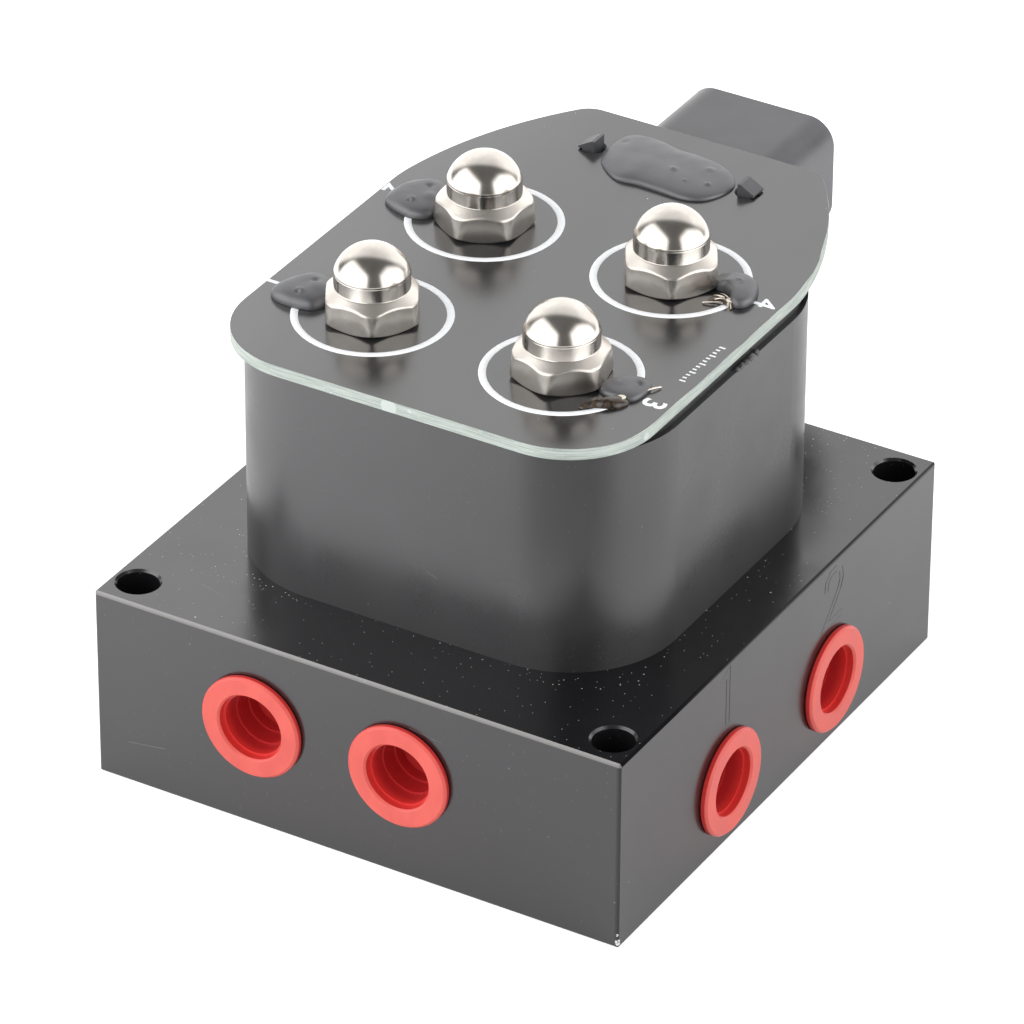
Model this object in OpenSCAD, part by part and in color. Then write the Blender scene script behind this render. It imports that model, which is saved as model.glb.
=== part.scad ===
// Solenoid valve block: a drilled manifold with four normally closed solenoid valves
// under one housing, and a connection board that four cap nuts clamp on top.
// The origin is the centre of the block's underside. +Z is up, the two common ports
// are on the -Y face, the two numbered ports on the +X face, and the connector
// points along +Y. All sizes are in millimetres.

/* [Block] */
// Width of the block, along X
block_w = 84; // [80:1:110]
// Depth of the block, along Y
block_d = 90; // [84:1:120]
// Height of the block
block_h = 30; // [30:1:42]
// Bevel on the block's outer edges
block_bevel = 0.25; // [0.1:0.05:1.5]
// Diameter of the four mounting holes
hole_d = 6; // [4:0.1:6.6]
// Mounting hole axis to the block's left and right faces
hole_inset_x = 4; // [3.8:0.1:5]
// Mounting hole axis to the block's front and back faces
hole_inset_y = 5; // [4:0.1:7]
// Bevel at the mouth of a hole or a port
mouth_bevel = 0.35; // [0.1:0.05:0.6]

/* [Ports and galleries] */
// Bore of a port's tapping
port_d = 11.8; // [11.2:0.1:12.6]
// Depth of a port's bore
port_depth = 13; // [11:0.5:14]
// Height of the two common ports' axes, on the front face
front_port_z = 16.5; // [16:0.1:17.2]
// Height of the two numbered ports' axes, on the right face
side_port_z = 10.1; // [8:0.1:10.7]
// Diameter of the galleries drilled on from the ports
gallery_d = 5; // [4:0.1:5.4]
// How far the feed gallery lies outside its valve row
feed_shift = 1.2; // [0:0.1:1.3]
// How far the vent gallery lies inside its drop holes
vent_shift = 1.5; // [0:0.1:2]

/* [Port plugs] */
// Diameter of a plug's flange
plug_flange_d = 15.8; // [14:0.1:17]
// Thickness of a plug's flange
plug_flange_t = 1.1; // [0.8:0.1:2]
// Length of a plug's shank inside the port
plug_shank_l = 9; // [7:0.5:10.5]
// Diameter of the cup's mouth
plug_cup_d = 10; // [8:0.1:10.2]
// Depth of the cup from the flange's outer face
plug_cup_depth = 8; // [6:0.1:8.6]
// How much smaller in diameter each inner step of the cup is
plug_step = 0.7; // [0.4:0.1:2]

/* [Valve cavities] */
// Distance between valve axes, in both directions
valve_pitch = 30; // [29:0.5:32]
// Diameter of the cavity that takes a guide tube's flange
cavity_d = 20; // [19:0.2:21]
// Depth of the land that the flange stands on
land_depth = 5; // [4.5:0.1:6]
// Diameter of the chamber round the seat
chamber_d = 15; // [13:0.2:15.2]
// Depth of the chamber's floor below the block's top
chamber_depth = 9.2; // [8.6:0.1:9.6]
// Height of the seat's nozzle over the chamber's floor
seat_h = 2.2; // [1.5:0.1:2.6]
// Diameter of the seat's rim
seat_d = 4.4; // [4:0.1:5]
// Diameter of the orifice through the seat
orifice_d = 2.4; // [1.6:0.1:3]
// Diameter of the drop hole from a chamber to its gallery
drop_d = 2.5; // [1.6:0.1:2.6]
// Drop hole axis to the valve axis
drop_offset = 6; // [5:0.1:6.2]

/* [Valve cartridges] */
// Outer diameter of the guide tube
tube_d = 12; // [11:0.2:13]
// Wall of the guide tube
tube_wall = 1; // [0.6:0.1:1.4]
// Diameter of the spigot that stands on the land, inside the flange seal
spigot_d = 16; // [15.6:0.1:16.4]
// Squeezed height of the flange seal
flange_seal_h = 1.4; // [1:0.1:2]
// Length of the plunger
plunger_l = 22; // [18:0.5:26]
// Lift of the plunger when its coil is energised
stroke = 1.5; // [1:0.1:2.2]
// Radial running clearance of the plunger in its tube
plunger_clear = 0.08; // [0.03:0.01:0.1]
// Diameter of the rubber disc in the plunger's tip
disc_d = 7; // [6:0.1:8]
// Thickness of the rubber disc
disc_t = 2; // [1.5:0.1:2.6]
// How far the disc stands out of the plunger
disc_proud = 0.4; // [0.2:0.1:0.8]
// Bore for the return spring in the plunger's upper end
spring_bore_d = 5.2; // [4.8:0.1:6]
// Depth of that bore
spring_bore_depth = 9.5; // [8:0.5:12]
// Wire diameter of the return spring
spring_wire = 0.6; // [0.4:0.05:0.8]
// Turns of the return spring
spring_turns = 7; // [5:1:8]
// Diameter of the stud on top of the fixed core
stud_d = 8; // [7:0.1:8.4]
// Length of the stud above the board
stud_l = 7.2; // [6:0.1:7.5]

/* [Coils] */
// Height of a coil, from the block's top to the board
coil_h = 35.6; // [34:0.2:42]
// Outer diameter of the steel yoke
yoke_d = 28.2; // [27:0.1:28.8]
// Wall of the yoke
yoke_wall = 1.5; // [1:0.1:2]
// Thickness of the yoke's top plate
yoke_top = 2.5; // [2:0.1:4]
// Thickness of the flux washer under the coil
washer_t = 2; // [1.5:0.1:3]
// Wall of the bobbin's tube
bobbin_wall = 1; // [0.8:0.1:1.6]
// Thickness of the bobbin's flanges
bobbin_flange = 1.2; // [0.8:0.1:2]
// How far the winding lies inside the bobbin's flanges
winding_inset = 0.7; // [0.4:0.1:2]
// Diameter of a coil terminal
terminal_d = 1.2; // [0.8:0.1:1.6]
// Distance between a coil's two terminals
terminal_pitch = 5; // [4:0.1:6]
// Terminal row to the bobbin flange's rim
terminal_inset = 1.6; // [1.5:0.1:3]
// Length of a terminal above the board
terminal_proud = 0.8; // [0.4:0.1:1]

/* [Coil housing] */
// Wall of the housing
housing_wall = 2; // [1.6:0.1:2.6]
// Outer corner radius of the housing
housing_r = 16.7; // [14:0.1:18]
// Gap between the yokes and the housing's left and right walls
housing_gap_side = 2; // [0.3:0.05:2.6]
// Gap between the yokes and the housing's front wall
housing_gap_front = 0.25; // [0.2:0.05:2]
// Gap between the yokes and the housing's back wall
housing_gap_back = 3.05; // [0.3:0.05:4]
// Width of the seal under the housing's foot
foot_seal_w = 1.2; // [0.8:0.1:1.4]
// Depth of the groove for that seal
foot_seal_h = 0.8; // [0.5:0.1:1.2]
// Height of the seal bead between the housing's rim and the board
rim_seal_h = 1; // [0.5:0.1:1.6]
// Width of that seal bead
rim_seal_w = 1.2; // [0.8:0.1:1.4]

/* [Connection board] */
// Thickness of the board
board_t = 1.7; // [1.2:0.1:2.4]
// How far the board's sides lie inside the housing's sides
board_side_inset = 0.75; // [0:0.05:1]
// Overhang of the board in front of the housing
board_front = 2.05; // [1:0.05:4]
// Length of the board's tail behind the housing
board_tail = 17.25; // [16:0.05:22]
// Radius of the board's front corners
board_front_r = 13.1; // [8:0.1:14]
// Where the board's sides start to turn in, behind the back valve row
board_turn_start = 3.5; // [2:0.1:6]
// Radius of that turn
board_turn_r = 26; // [20:1:32]
// Angle of that turn
board_turn = 10; // [6:1:14]
// Radius of the bowed sides of the tail
board_tail_r = 61; // [56:1:80]
// Radius of the board's back corners
board_back_r = 4; // [2:0.1:6]
// Radial clearance of a stud in its hole in the board
board_stud_clear = 0.25; // [0.1:0.05:0.6]

/* [Cap nuts] */
// Width of a nut across its flats
nut_af = 12.8; // [12:0.1:13.4]
// Height of a nut's hexagon
nut_hex_h = 4.8; // [4:0.1:5.2]
// Diameter of the collar between a nut's hexagon and its dome
nut_collar_d = 10.7; // [10.4:0.1:10.8]
// Height of the collar
nut_collar_h = 2.4; // [1.8:0.1:2.6]
// Diameter of a nut's dome
nut_dome_d = 11; // [10.8:0.1:11.4]
// Height of a nut
nut_h = 11; // [10.6:0.1:11.6]
// Depth of a nut's bore
nut_bore_depth = 7.6; // [7.3:0.1:8]
// Width of the flat rim between the collar and the corners' upper bevel
nut_rim = 0.1; // [0.05:0.05:0.2]
// Slope of the corners' upper bevel
nut_top_slope = 40; // [30:1:45]
// Where the corners' lower bevel starts, inside the flats
nut_foot_inset = 0.1; // [0.05:0.05:0.3]
// Slope of the corners' lower bevel
nut_foot_slope = 30; // [20:1:40]
// How much the turned blank takes off the corners above the lower bevel
nut_corner_cut = 0.15; // [0.05:0.05:0.3]
// How much more it takes off at the top
nut_corner_taper = 0.3; // [0:0.05:0.4]

/* [Connector] */
// Width of the connector's shell
conn_w = 23.7; // [22:0.1:26]
// Height of the shell
conn_h = 17.5; // [16.5:0.1:22]
// Corner radius of the shell
conn_r = 4.1; // [3:0.1:6]
// Length of the shell, from its mouth to its closed end
conn_l = 32.5; // [30:0.5:33]
// How far the mouth stands out behind the board
conn_reach = 17.1; // [14:0.1:20]
// Wall of the shroud round the pins
conn_wall = 1.8; // [1.4:0.1:2.4]
// Depth of the shroud's hollow
conn_hollow = 17.5; // [16:0.1:18.5]
// Gap between the shell's top and the board
conn_gap = 0.2; // [0.1:0.05:1]
// Thickness of the wall that holds the pins
conn_web = 4; // [3:0.1:5]
// Distance between pins, along both rows
pin_pitch = 4; // [3.5:0.1:4.5]
// Distance between the two pin rows
pin_rows = 4; // [3.5:0.1:6]
// Width of a square pin
pin_w = 1; // [0.6:0.1:1.2]
// Length of the pins inside the shroud
pin_l = 11; // [8:0.5:13]
// Distance between the two rows of pin tails in the board
tail_pitch = 4; // [3:0.1:4.5]
// Board peg axis to the side of the shell
peg_out = 0.8; // [0.4:0.1:2]
// Width of a board peg, along Y
peg_w = 2.8; // [2:0.1:3]
// Thickness of a peg, along X
peg_t = 2; // [1.4:0.1:2.2]
// Length of a peg above the board
peg_proud = 1.7; // [1:0.1:2]
// How far a peg's barb stands out
peg_barb = 0.65; // [0.2:0.05:0.8]
// Clearance round a peg's corners in its hole in the board
peg_clear = 0.25; // [0.05:0.05:0.4]

/* [Epoxy] */
// Radius of a dab round each of its terminals
dab_r = 2.9; // [2:0.1:3.2]
// Height of a dab
dab_h = 1.8; // [1.2:0.1:2.6]
// Margin of the connector's patch round its pin tails
patch_margin = 4.2; // [2.5:0.1:4.4]
// Height of the patch
patch_h = 2.4; // [1.4:0.1:3]

/* [Fits] */
// Radial clearance of pieces that are fitted into each other
fit_gap = 0.05; // [0.02:0.01:0.1]
// Clearance between a moving piece and the face it rests on
rest_gap = 0.02; // [0.01:0.01:0.1]

/* [Hidden] */
VALVES = ["feed_1", "vent_1", "feed_2", "vent_2"];
VALVE_SIDES = [[-1, -1], [1, -1], [-1, 1], [1, 1]];
// Angle of one corner of each nut, as they happened to be tightened
NUT_TURNS = [-60, -18, -42, -60];
VALVE_NODES = ["guide_tube", "fixed_core", "plunger", "plunger_disc", "return_spring",
    "bobbin", "winding", "yoke"];
PLUGS = ["feed_port_plug", "vent_port_plug", "port_1_plug", "port_2_plug"];

$fn = 64;
eps = 0.01;
// Facets round a piece that is blended by a hull
hull_fn = 28;
drill_tip = 0.6;

valve_xy = valve_pitch / 2;
land_z = block_h - land_depth;
floor_z = block_h - chamber_depth;
seat_z = floor_z + seat_h;
seat_base_d = seat_d + 1.6;
feed_x = -valve_xy - feed_shift;
vent_x = valve_xy - drop_offset - vent_shift;

tube_r = tube_d / 2;
bore_r = tube_r - tube_wall;
disc_z = seat_z + rest_gap;
plunger_z = disc_z + disc_proud;
plunger_top = plunger_z + plunger_l;
core_z = plunger_top + stroke + rest_gap;
core_cap_h = 3;
spring_floor = plunger_top - spring_bore_depth;
spring_play = 0.25;

board_z = block_h + coil_h;
board_top = board_z + board_t;
yoke_r = yoke_d / 2;
yoke_in = yoke_r - yoke_wall;
flange_r = yoke_in - 0.2;
slip_gap = 0.15;
terminal_x = flange_r - terminal_inset;
terminal_hole = 0.6;

inner_w = valve_pitch + 2 * (yoke_r + housing_gap_side);
inner_y0 = -valve_xy - yoke_r - housing_gap_front;
inner_y1 = valve_xy + yoke_r + housing_gap_back;
housing_w = inner_w + 2 * housing_wall;
housing_y0 = inner_y0 - housing_wall;
housing_y1 = inner_y1 + housing_wall;
housing_d = housing_y1 - housing_y0;
housing_y = (housing_y0 + housing_y1) / 2;
housing_h = coil_h - rim_seal_h;
// The bead's inner side is flush with the wall's inner side
rim_inset = housing_wall - rim_seal_w;

board_half = housing_w / 2 - board_side_inset;
board_y0 = housing_y0 - board_front;
board_y1 = housing_y1 + board_tail;

conn_y1 = board_y1 + conn_reach;
conn_y0 = conn_y1 - conn_l;
conn_top = board_z - conn_gap;
conn_z = conn_top - conn_h / 2;
web_y1 = conn_y1 - conn_hollow;
web_y0 = web_y1 - conn_web;
tail_y = conn_y0 + 3.8;
tail_wall = 2;
peg_x = conn_w / 2 + peg_out;
peg_y = conn_y0 + 5.3;
peg_hole_r = norm([peg_t, peg_w]) / 2 + peg_clear;
barb_lift = 0.2;
barb_tip = 0.25;
ear_h = 6;
ear_d = 5;

// Points along an arc, from angle a0 to angle a1
function arc(x, y, r, a0, a1, n) =
    [for (i = [0 : n]) let (a = a0 + (a1 - a0) * i / n) [x + r * cos(a), y + r * sin(a)]];

// Repeats a piece at all four valve places
module each_valve() {
    for (side = VALVE_SIDES) translate([side[0] * valve_xy, side[1] * valve_xy, 0]) children();
}

// Moves a piece to the place of valve i
module at_valve(i) {
    translate([VALVE_SIDES[i][0] * valve_xy, VALVE_SIDES[i][1] * valve_xy, 0]) children();
}

// Moves a piece to port i, with its own +Z pointing out of the port
module at_port(i) {
    if (i == 0) translate([feed_x, -block_d / 2, front_port_z]) rotate([90, 0, 0]) children();
    if (i == 1) translate([vent_x, -block_d / 2, front_port_z]) rotate([90, 0, 0]) children();
    if (i == 2) translate([block_w / 2, -valve_xy, side_port_z]) rotate([0, 90, 0]) children();
    if (i == 3) translate([block_w / 2, valve_xy, side_port_z]) rotate([0, 90, 0]) children();
}

// Prism on a rectangle with round corners, standing on z = 0
module rounded_prism(w, d, r, h) {
    translate([-w / 2 + r, -d / 2, 0]) cube([w - 2 * r, d, h]);
    translate([-w / 2, -d / 2 + r, 0]) cube([w, d - 2 * r, h]);
    for (sx = [-1, 1], sy = [-1, 1])
        translate([sx * (w / 2 - r), sy * (d / 2 - r), 0]) cylinder(r = r, h = h);
}

// Ring of the given wall on the same outline
module rounded_ring(w, d, r, wall, h) {
    difference() {
        rounded_prism(w, d, r, h);
        translate([0, 0, -1]) rounded_prism(w - 2 * wall, d - 2 * wall, r - wall, h + 2);
    }
}

// Rectangle with cut corners
module cut_rectangle(w, d, b) {
    polygon([[-w / 2 + b, -d / 2], [w / 2 - b, -d / 2], [w / 2, -d / 2 + b], [w / 2, d / 2 - b],
        [w / 2 - b, d / 2], [-w / 2 + b, d / 2], [-w / 2, d / 2 - b], [-w / 2, -d / 2 + b]]);
}

// Box standing on z = 0 with all its edges bevelled
module bevelled_box(w, d, h, b) {
    intersection() {
        linear_extrude(h) cut_rectangle(w, d, b);
        translate([0, d / 2, h / 2]) rotate([90, 0, 0]) linear_extrude(d) cut_rectangle(w, h, b);
        translate([-w / 2, 0, h / 2]) rotate([90, 0, 90]) linear_extrude(w) cut_rectangle(d, h, b);
    }
}

// Through hole with a bevelled mouth at each end
module mounting_hole() {
    translate([0, 0, -1]) cylinder(d = hole_d, h = block_h + 2);
    translate([0, 0, -eps]) cylinder(d1 = hole_d + 2 * mouth_bevel, d2 = hole_d, h = mouth_bevel);
    translate([0, 0, block_h - mouth_bevel])
        cylinder(d1 = hole_d, d2 = hole_d + 2 * mouth_bevel, h = mouth_bevel + eps);
}

// Port bore and the gallery behind it, reach long to the gallery's full-width end
module port_and_gallery(reach) {
    translate([0, 0, -port_depth]) cylinder(d = port_d, h = port_depth + 1);
    translate([0, 0, -port_depth - port_d / 2 * drill_tip])
        cylinder(d1 = 0, d2 = port_d, h = port_d / 2 * drill_tip + eps);
    translate([0, 0, -mouth_bevel])
        cylinder(d1 = port_d, d2 = port_d + 2 * mouth_bevel, h = mouth_bevel + eps);
    translate([0, 0, -reach]) cylinder(d = gallery_d, h = reach);
    translate([0, 0, -reach - gallery_d / 2 * drill_tip])
        cylinder(d1 = 0, d2 = gallery_d, h = gallery_d / 2 * drill_tip + eps);
}

// Stepped cavity that leaves the seat's nozzle standing on its floor
module valve_cavity() {
    rotate_extrude() polygon([[0, block_h + 1], [0, seat_z], [seat_d / 2, seat_z],
        [seat_base_d / 2, floor_z], [chamber_d / 2, floor_z], [chamber_d / 2, land_z],
        [cavity_d / 2, land_z], [cavity_d / 2, block_h + 1]]);
}

// Cavity of valve i with its orifice and drop hole. A feed valve's orifice rises from
// the feed gallery and a vent valve's from the numbered port's gallery.
module valve_drilling(i) {
    is_feed = VALVE_SIDES[i][0] < 0;
    orifice_from = is_feed ? front_port_z : side_port_z;
    drop_to = is_feed ? side_port_z : front_port_z;
    inward = -VALVE_SIDES[i][0] * drop_offset;
    at_valve(i) {
        valve_cavity();
        translate([0, 0, orifice_from]) cylinder(d = orifice_d, h = seat_z - orifice_from + 1, $fn = 32);
        translate([inward, 0, drop_to]) cylinder(d = drop_d, h = floor_z - drop_to + 0.5, $fn = 32);
    }
}

module manifold_block() {
    front_reach = block_d / 2 + valve_xy + orifice_d / 2 + 0.3;
    side_reach = block_w / 2 + valve_xy - drop_offset + drop_d / 2 + 0.3;
    hole_x = block_w / 2 - hole_inset_x;
    hole_y = block_d / 2 - hole_inset_y;
    color([0.10, 0.10, 0.11]) difference() {
        bevelled_box(block_w, block_d, block_h, block_bevel);
        for (sx = [-1, 1], sy = [-1, 1]) translate([sx * hole_x, sy * hole_y, 0]) mounting_hole();
        for (i = [0 : 3]) at_port(i) port_and_gallery(i < 2 ? front_reach : side_reach);
        for (i = [0 : 3]) valve_drilling(i);
        translate([0, housing_y, block_h - foot_seal_h]) foot_ring(foot_seal_w, foot_seal_h + 1);
    }
}

// Ring that runs under the middle of the housing's wall
module foot_ring(w, h) {
    inset = (housing_wall - w) / 2;
    rounded_ring(housing_w - 2 * inset, housing_d - 2 * inset, housing_r - inset, w, h);
}

module coil_housing() {
    color([0.09, 0.09, 0.10]) translate([0, housing_y, block_h])
        rounded_ring(housing_w, housing_d, housing_r, housing_wall, housing_h);
}

module foot_seal() {
    color([0.05, 0.05, 0.05]) translate([0, housing_y, block_h - foot_seal_h])
        foot_ring(foot_seal_w - 2 * fit_gap, foot_seal_h);
}

module rim_seal() {
    color([0.03, 0.03, 0.03]) translate([0, housing_y, block_h + housing_h])
        rounded_ring(housing_w - 2 * rim_inset, housing_d - 2 * rim_inset, housing_r - rim_inset,
            rim_seal_w, rim_seal_h);
}

// Right half of the board's outline, from the front edge round to the back edge. Behind
// the back valves the side turns in on a short arc, goes on along the tail's long arc and
// ends in the back corner's arc, each tangent to the one before.
function board_half_outline() =
    let (
        turn = [board_half - board_turn_r, valve_xy + board_turn_start],
        tail = turn + (board_turn_r - board_tail_r) * [cos(board_turn), sin(board_turn)],
        corner_y = board_y1 - board_back_r,
        corner_turn = asin((corner_y - tail[1]) / (board_tail_r - board_back_r)),
        corner_x = tail[0] + (board_tail_r - board_back_r) * cos(corner_turn)
    )
    concat(
        arc(board_half - board_front_r, board_y0 + board_front_r, board_front_r, -90, 0, 18),
        arc(turn[0], turn[1], board_turn_r, 0, board_turn, 4),
        arc(tail[0], tail[1], board_tail_r, board_turn, corner_turn, 14),
        arc(corner_x, corner_y, board_back_r, corner_turn, 90, 8)
    );

module board_outline() {
    right = board_half_outline();
    last = len(right) - 1;
    left = [for (i = [0 : last]) [-right[last - i][0], right[last - i][1]]];
    polygon(concat(right, left));
}

// Places of the eight pin tails, [x, y, row]
TAILS = [for (row = [0, 1], col = [0 : 3]) [(col - 1.5) * pin_pitch, tail_y + row * tail_pitch, row]];

module at_terminals() {
    for (side = VALVE_SIDES, k = [-0.5, 0.5])
        translate([side[0] * (valve_xy + terminal_x), side[1] * valve_xy + k * terminal_pitch, 0])
            children();
}

module connection_board() {
    color([0.07, 0.08, 0.08]) difference() {
        translate([0, 0, board_z]) linear_extrude(board_t) board_outline();
        translate([0, 0, board_z - 1]) {
            each_valve() cylinder(r = stud_d / 2 + board_stud_clear, h = board_t + 2);
            at_terminals() cylinder(d = terminal_d + 4 * fit_gap, h = board_t + 2, $fn = 24);
            for (t = TAILS) translate([t[0], t[1], 0])
                cylinder(r = pin_w * 0.71 + fit_gap, h = board_t + 2, $fn = 24);
            for (s = [-1, 1]) translate([s * peg_x, peg_y, 0])
                cylinder(r = peg_hole_r, h = board_t + 2, $fn = 32);
        }
    }
}

// Half profile of the turned blank that a nut's hexagon is milled from
function nut_blank() =
    let (
        foot_r = nut_af / 2 - nut_foot_inset,
        wide_r = nut_af / 2 / cos(30) - nut_corner_cut,
        top_r = wide_r - nut_corner_taper,
        rim_r = nut_collar_d / 2 + nut_rim
    )
    [[0, 0], [foot_r, 0], [wide_r, (wide_r - foot_r) * tan(nut_foot_slope)],
        [top_r, nut_hex_h - (top_r - rim_r) * tan(nut_top_slope)], [rim_r, nut_hex_h], [0, nut_hex_h]];

// Domed nut on z = 0: a hexagon with bevelled corners, a collar and a domed cap
module cap_nut(turn) {
    collar_top = nut_hex_h + nut_collar_h;
    bore_r = stud_d / 2 + fit_gap;
    difference() {
        union() {
            rotate([0, 0, turn]) intersection() {
                cylinder(r = nut_af / 2 / cos(30), h = nut_hex_h, $fn = 6);
                rotate([0, 0, 30]) rotate_extrude() polygon(nut_blank());
            }
            cylinder(d = nut_collar_d, h = collar_top);
            rotate_extrude() intersection() {
                translate([0, nut_h - nut_dome_d / 2]) circle(d = nut_dome_d);
                translate([0, collar_top - eps]) square([nut_collar_d / 2, nut_h]);
            }
        }
        translate([0, 0, -1]) cylinder(r = bore_r, h = nut_bore_depth + 1);
        translate([0, 0, -eps]) cylinder(r1 = bore_r + 0.5, r2 = bore_r, h = 0.5 + eps);
    }
}

module cap_nuts() {
    color([0.78, 0.74, 0.68]) for (i = [0 : 3])
        at_valve(i) translate([0, 0, board_top]) cap_nut(NUT_TURNS[i]);
}

// Flange, spigot and thin tube in one turned piece
module guide_tube(i) {
    flange_z = land_z + flange_seal_h;
    color([0.72, 0.73, 0.75]) at_valve(i) rotate_extrude() polygon([[bore_r, land_z],
        [spigot_d / 2, land_z], [spigot_d / 2, flange_z], [cavity_d / 2 - fit_gap, flange_z],
        [cavity_d / 2 - fit_gap, block_h], [tube_r, block_h], [tube_r, board_z - core_cap_h],
        [bore_r, board_z - core_cap_h]]);
}

module flange_seals() {
    in_r = spigot_d / 2 + fit_gap;
    out_r = cavity_d / 2 - 2 * fit_gap;
    r = flange_seal_h / 2;
    color([0.08, 0.08, 0.08]) each_valve() translate([0, 0, land_z]) rotate_extrude() {
        translate([in_r + r, r]) circle(r = r, $fn = 24);
        translate([out_r - r, r]) circle(r = r, $fn = 24);
        translate([in_r + r, 0]) square([out_r - in_r - 2 * r, flange_seal_h]);
    }
}

// Core with a cap that closes the tube, and the stud for the nut
module fixed_core(i) {
    r = bore_r - fit_gap;
    stud_r = stud_d / 2;
    stud_top = board_top + stud_l;
    color([0.66, 0.67, 0.70]) at_valve(i) rotate_extrude() polygon([[0, core_z], [r - 0.4, core_z],
        [r, core_z + 0.4], [r, board_z - core_cap_h], [tube_r, board_z - core_cap_h],
        [tube_r, board_z], [stud_r, board_z], [stud_r, stud_top - 0.8], [stud_r - 0.8, stud_top],
        [0, stud_top]]);
}

// Plunger with a pocket for the disc below and a bore for the spring above
module plunger(i) {
    r = bore_r - plunger_clear;
    pocket_r = disc_d / 2 + fit_gap;
    pocket_top = disc_z + disc_t;
    spring_r = spring_bore_d / 2;
    color([0.60, 0.61, 0.63]) at_valve(i) rotate_extrude() polygon([[0, pocket_top],
        [pocket_r, pocket_top], [pocket_r, plunger_z], [r - 0.5, plunger_z], [r, plunger_z + 0.5],
        [r, plunger_top - 0.5], [r - 0.5, plunger_top], [spring_r, plunger_top],
        [spring_r, spring_floor], [0, spring_floor]]);
}

module plunger_disc(i) {
    color([0.20, 0.13, 0.08]) at_valve(i) translate([0, 0, disc_z]) cylinder(d = disc_d, h = disc_t);
}

// Height along a spring of length l after t of its n turns, the end turns closed
function spring_rise(t, n, l) =
    let (closed = spring_wire * 1.05)
    t < 1 ? closed * t : t > n - 1 ? l - closed * (n - t) : closed + (l - 2 * closed) * (t - 1) / (n - 2);

module return_spring(i) {
    sides = 6;
    steps = 12;
    wire_r = spring_wire / 2;
    mean_r = spring_bore_d / 2 - spring_play - wire_r;
    z0 = spring_floor + rest_gap + wire_r;
    l = core_z - spring_floor - 2 * rest_gap - spring_wire;
    rings = spring_turns * steps;
    points = [for (k = [0 : rings], s = [0 : sides - 1])
        let (a = 360 * k / steps, b = 360 * s / sides, r = mean_r + wire_r * cos(b))
        [r * cos(a), r * sin(a), z0 + spring_rise(k / steps, spring_turns, l) + wire_r * sin(b)]];
    walls = [for (k = [0 : rings - 1], s = [0 : sides - 1])
        let (a = k * sides + s, b = k * sides + (s + 1) % sides) [a, b, b + sides, a + sides]];
    first_end = [for (s = [0 : sides - 1]) sides - 1 - s];
    last_end = [for (s = [0 : sides - 1]) rings * sides + s];
    color([0.75, 0.76, 0.78]) at_valve(i) polyhedron(points, concat([first_end], walls, [last_end]));
}

module bobbin(i) {
    in_r = tube_r + slip_gap;
    wall_r = in_r + bobbin_wall;
    z0 = block_h + washer_t;
    z1 = board_z - yoke_top;
    color([0.16, 0.17, 0.18]) at_valve(i) rotate_extrude() polygon([[in_r, z0], [flange_r, z0],
        [flange_r, z0 + bobbin_flange], [wall_r, z0 + bobbin_flange], [wall_r, z1 - bobbin_flange],
        [flange_r, z1 - bobbin_flange], [flange_r, z1], [in_r, z1]]);
}

module winding(i) {
    in_r = tube_r + slip_gap + bobbin_wall + fit_gap;
    z0 = block_h + washer_t + bobbin_flange + fit_gap;
    z1 = board_z - yoke_top - bobbin_flange - fit_gap;
    color([0.72, 0.38, 0.18]) at_valve(i) translate([0, 0, z0]) difference() {
        cylinder(r = flange_r - winding_inset, h = z1 - z0);
        translate([0, 0, -1]) cylinder(r = in_r, h = z1 - z0 + 2);
    }
}

// Steel pot over the coil, with two holes for its terminals
module yoke(i) {
    color([0.45, 0.46, 0.48]) at_valve(i) difference() {
        translate([0, 0, block_h]) cylinder(r = yoke_r, h = coil_h);
        translate([0, 0, block_h - 1]) cylinder(r = yoke_in, h = coil_h - yoke_top + 1);
        cylinder(r = tube_r + slip_gap, h = board_z + 1);
        for (k = [-0.5, 0.5]) translate([VALVE_SIDES[i][0] * terminal_x, k * terminal_pitch, block_h])
            cylinder(d = terminal_d + 2 * terminal_hole, h = coil_h + 1, $fn = 32);
    }
}

module flux_washers() {
    color([0.50, 0.51, 0.53]) each_valve() translate([0, 0, block_h]) difference() {
        cylinder(r = yoke_in - 2 * fit_gap, h = washer_t);
        translate([0, 0, -1]) cylinder(r = tube_r + slip_gap, h = washer_t + 2);
    }
}

module coil_terminals() {
    z0 = board_z - yoke_top;
    color([0.80, 0.72, 0.45]) at_terminals() translate([0, 0, z0])
        cylinder(d = terminal_d, h = board_top + terminal_proud - z0, $fn = 24);
}

// Cone frusta stacked to a dome's profile, cheap enough to blend by a hull
module low_dome(r, h) {
    for (k = [0 : 2]) {
        a0 = 25 * k;
        a1 = 25 * (k + 1);
        r2 = r * cos(a1);
        translate([0, 0, h * sin(a0)])
            cylinder(r1 = r * cos(a0), r2 = r2, h = h * (sin(a1) - sin(a0)), $fn = hull_fn);
    }
}

module epoxy_dabs() {
    color([0.02, 0.02, 0.02]) for (side = VALVE_SIDES)
        translate([side[0] * (valve_xy + terminal_x), side[1] * valve_xy, board_top]) difference() {
            hull() for (k = [-0.5, 0.5])
                translate([0, k * terminal_pitch, 0]) low_dome(dab_r, dab_h);
            for (k = [-0.5, 0.5]) translate([0, k * terminal_pitch, -1])
                cylinder(d = terminal_d + 2 * fit_gap, h = terminal_proud + 1 + fit_gap, $fn = 24);
        }
}

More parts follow.
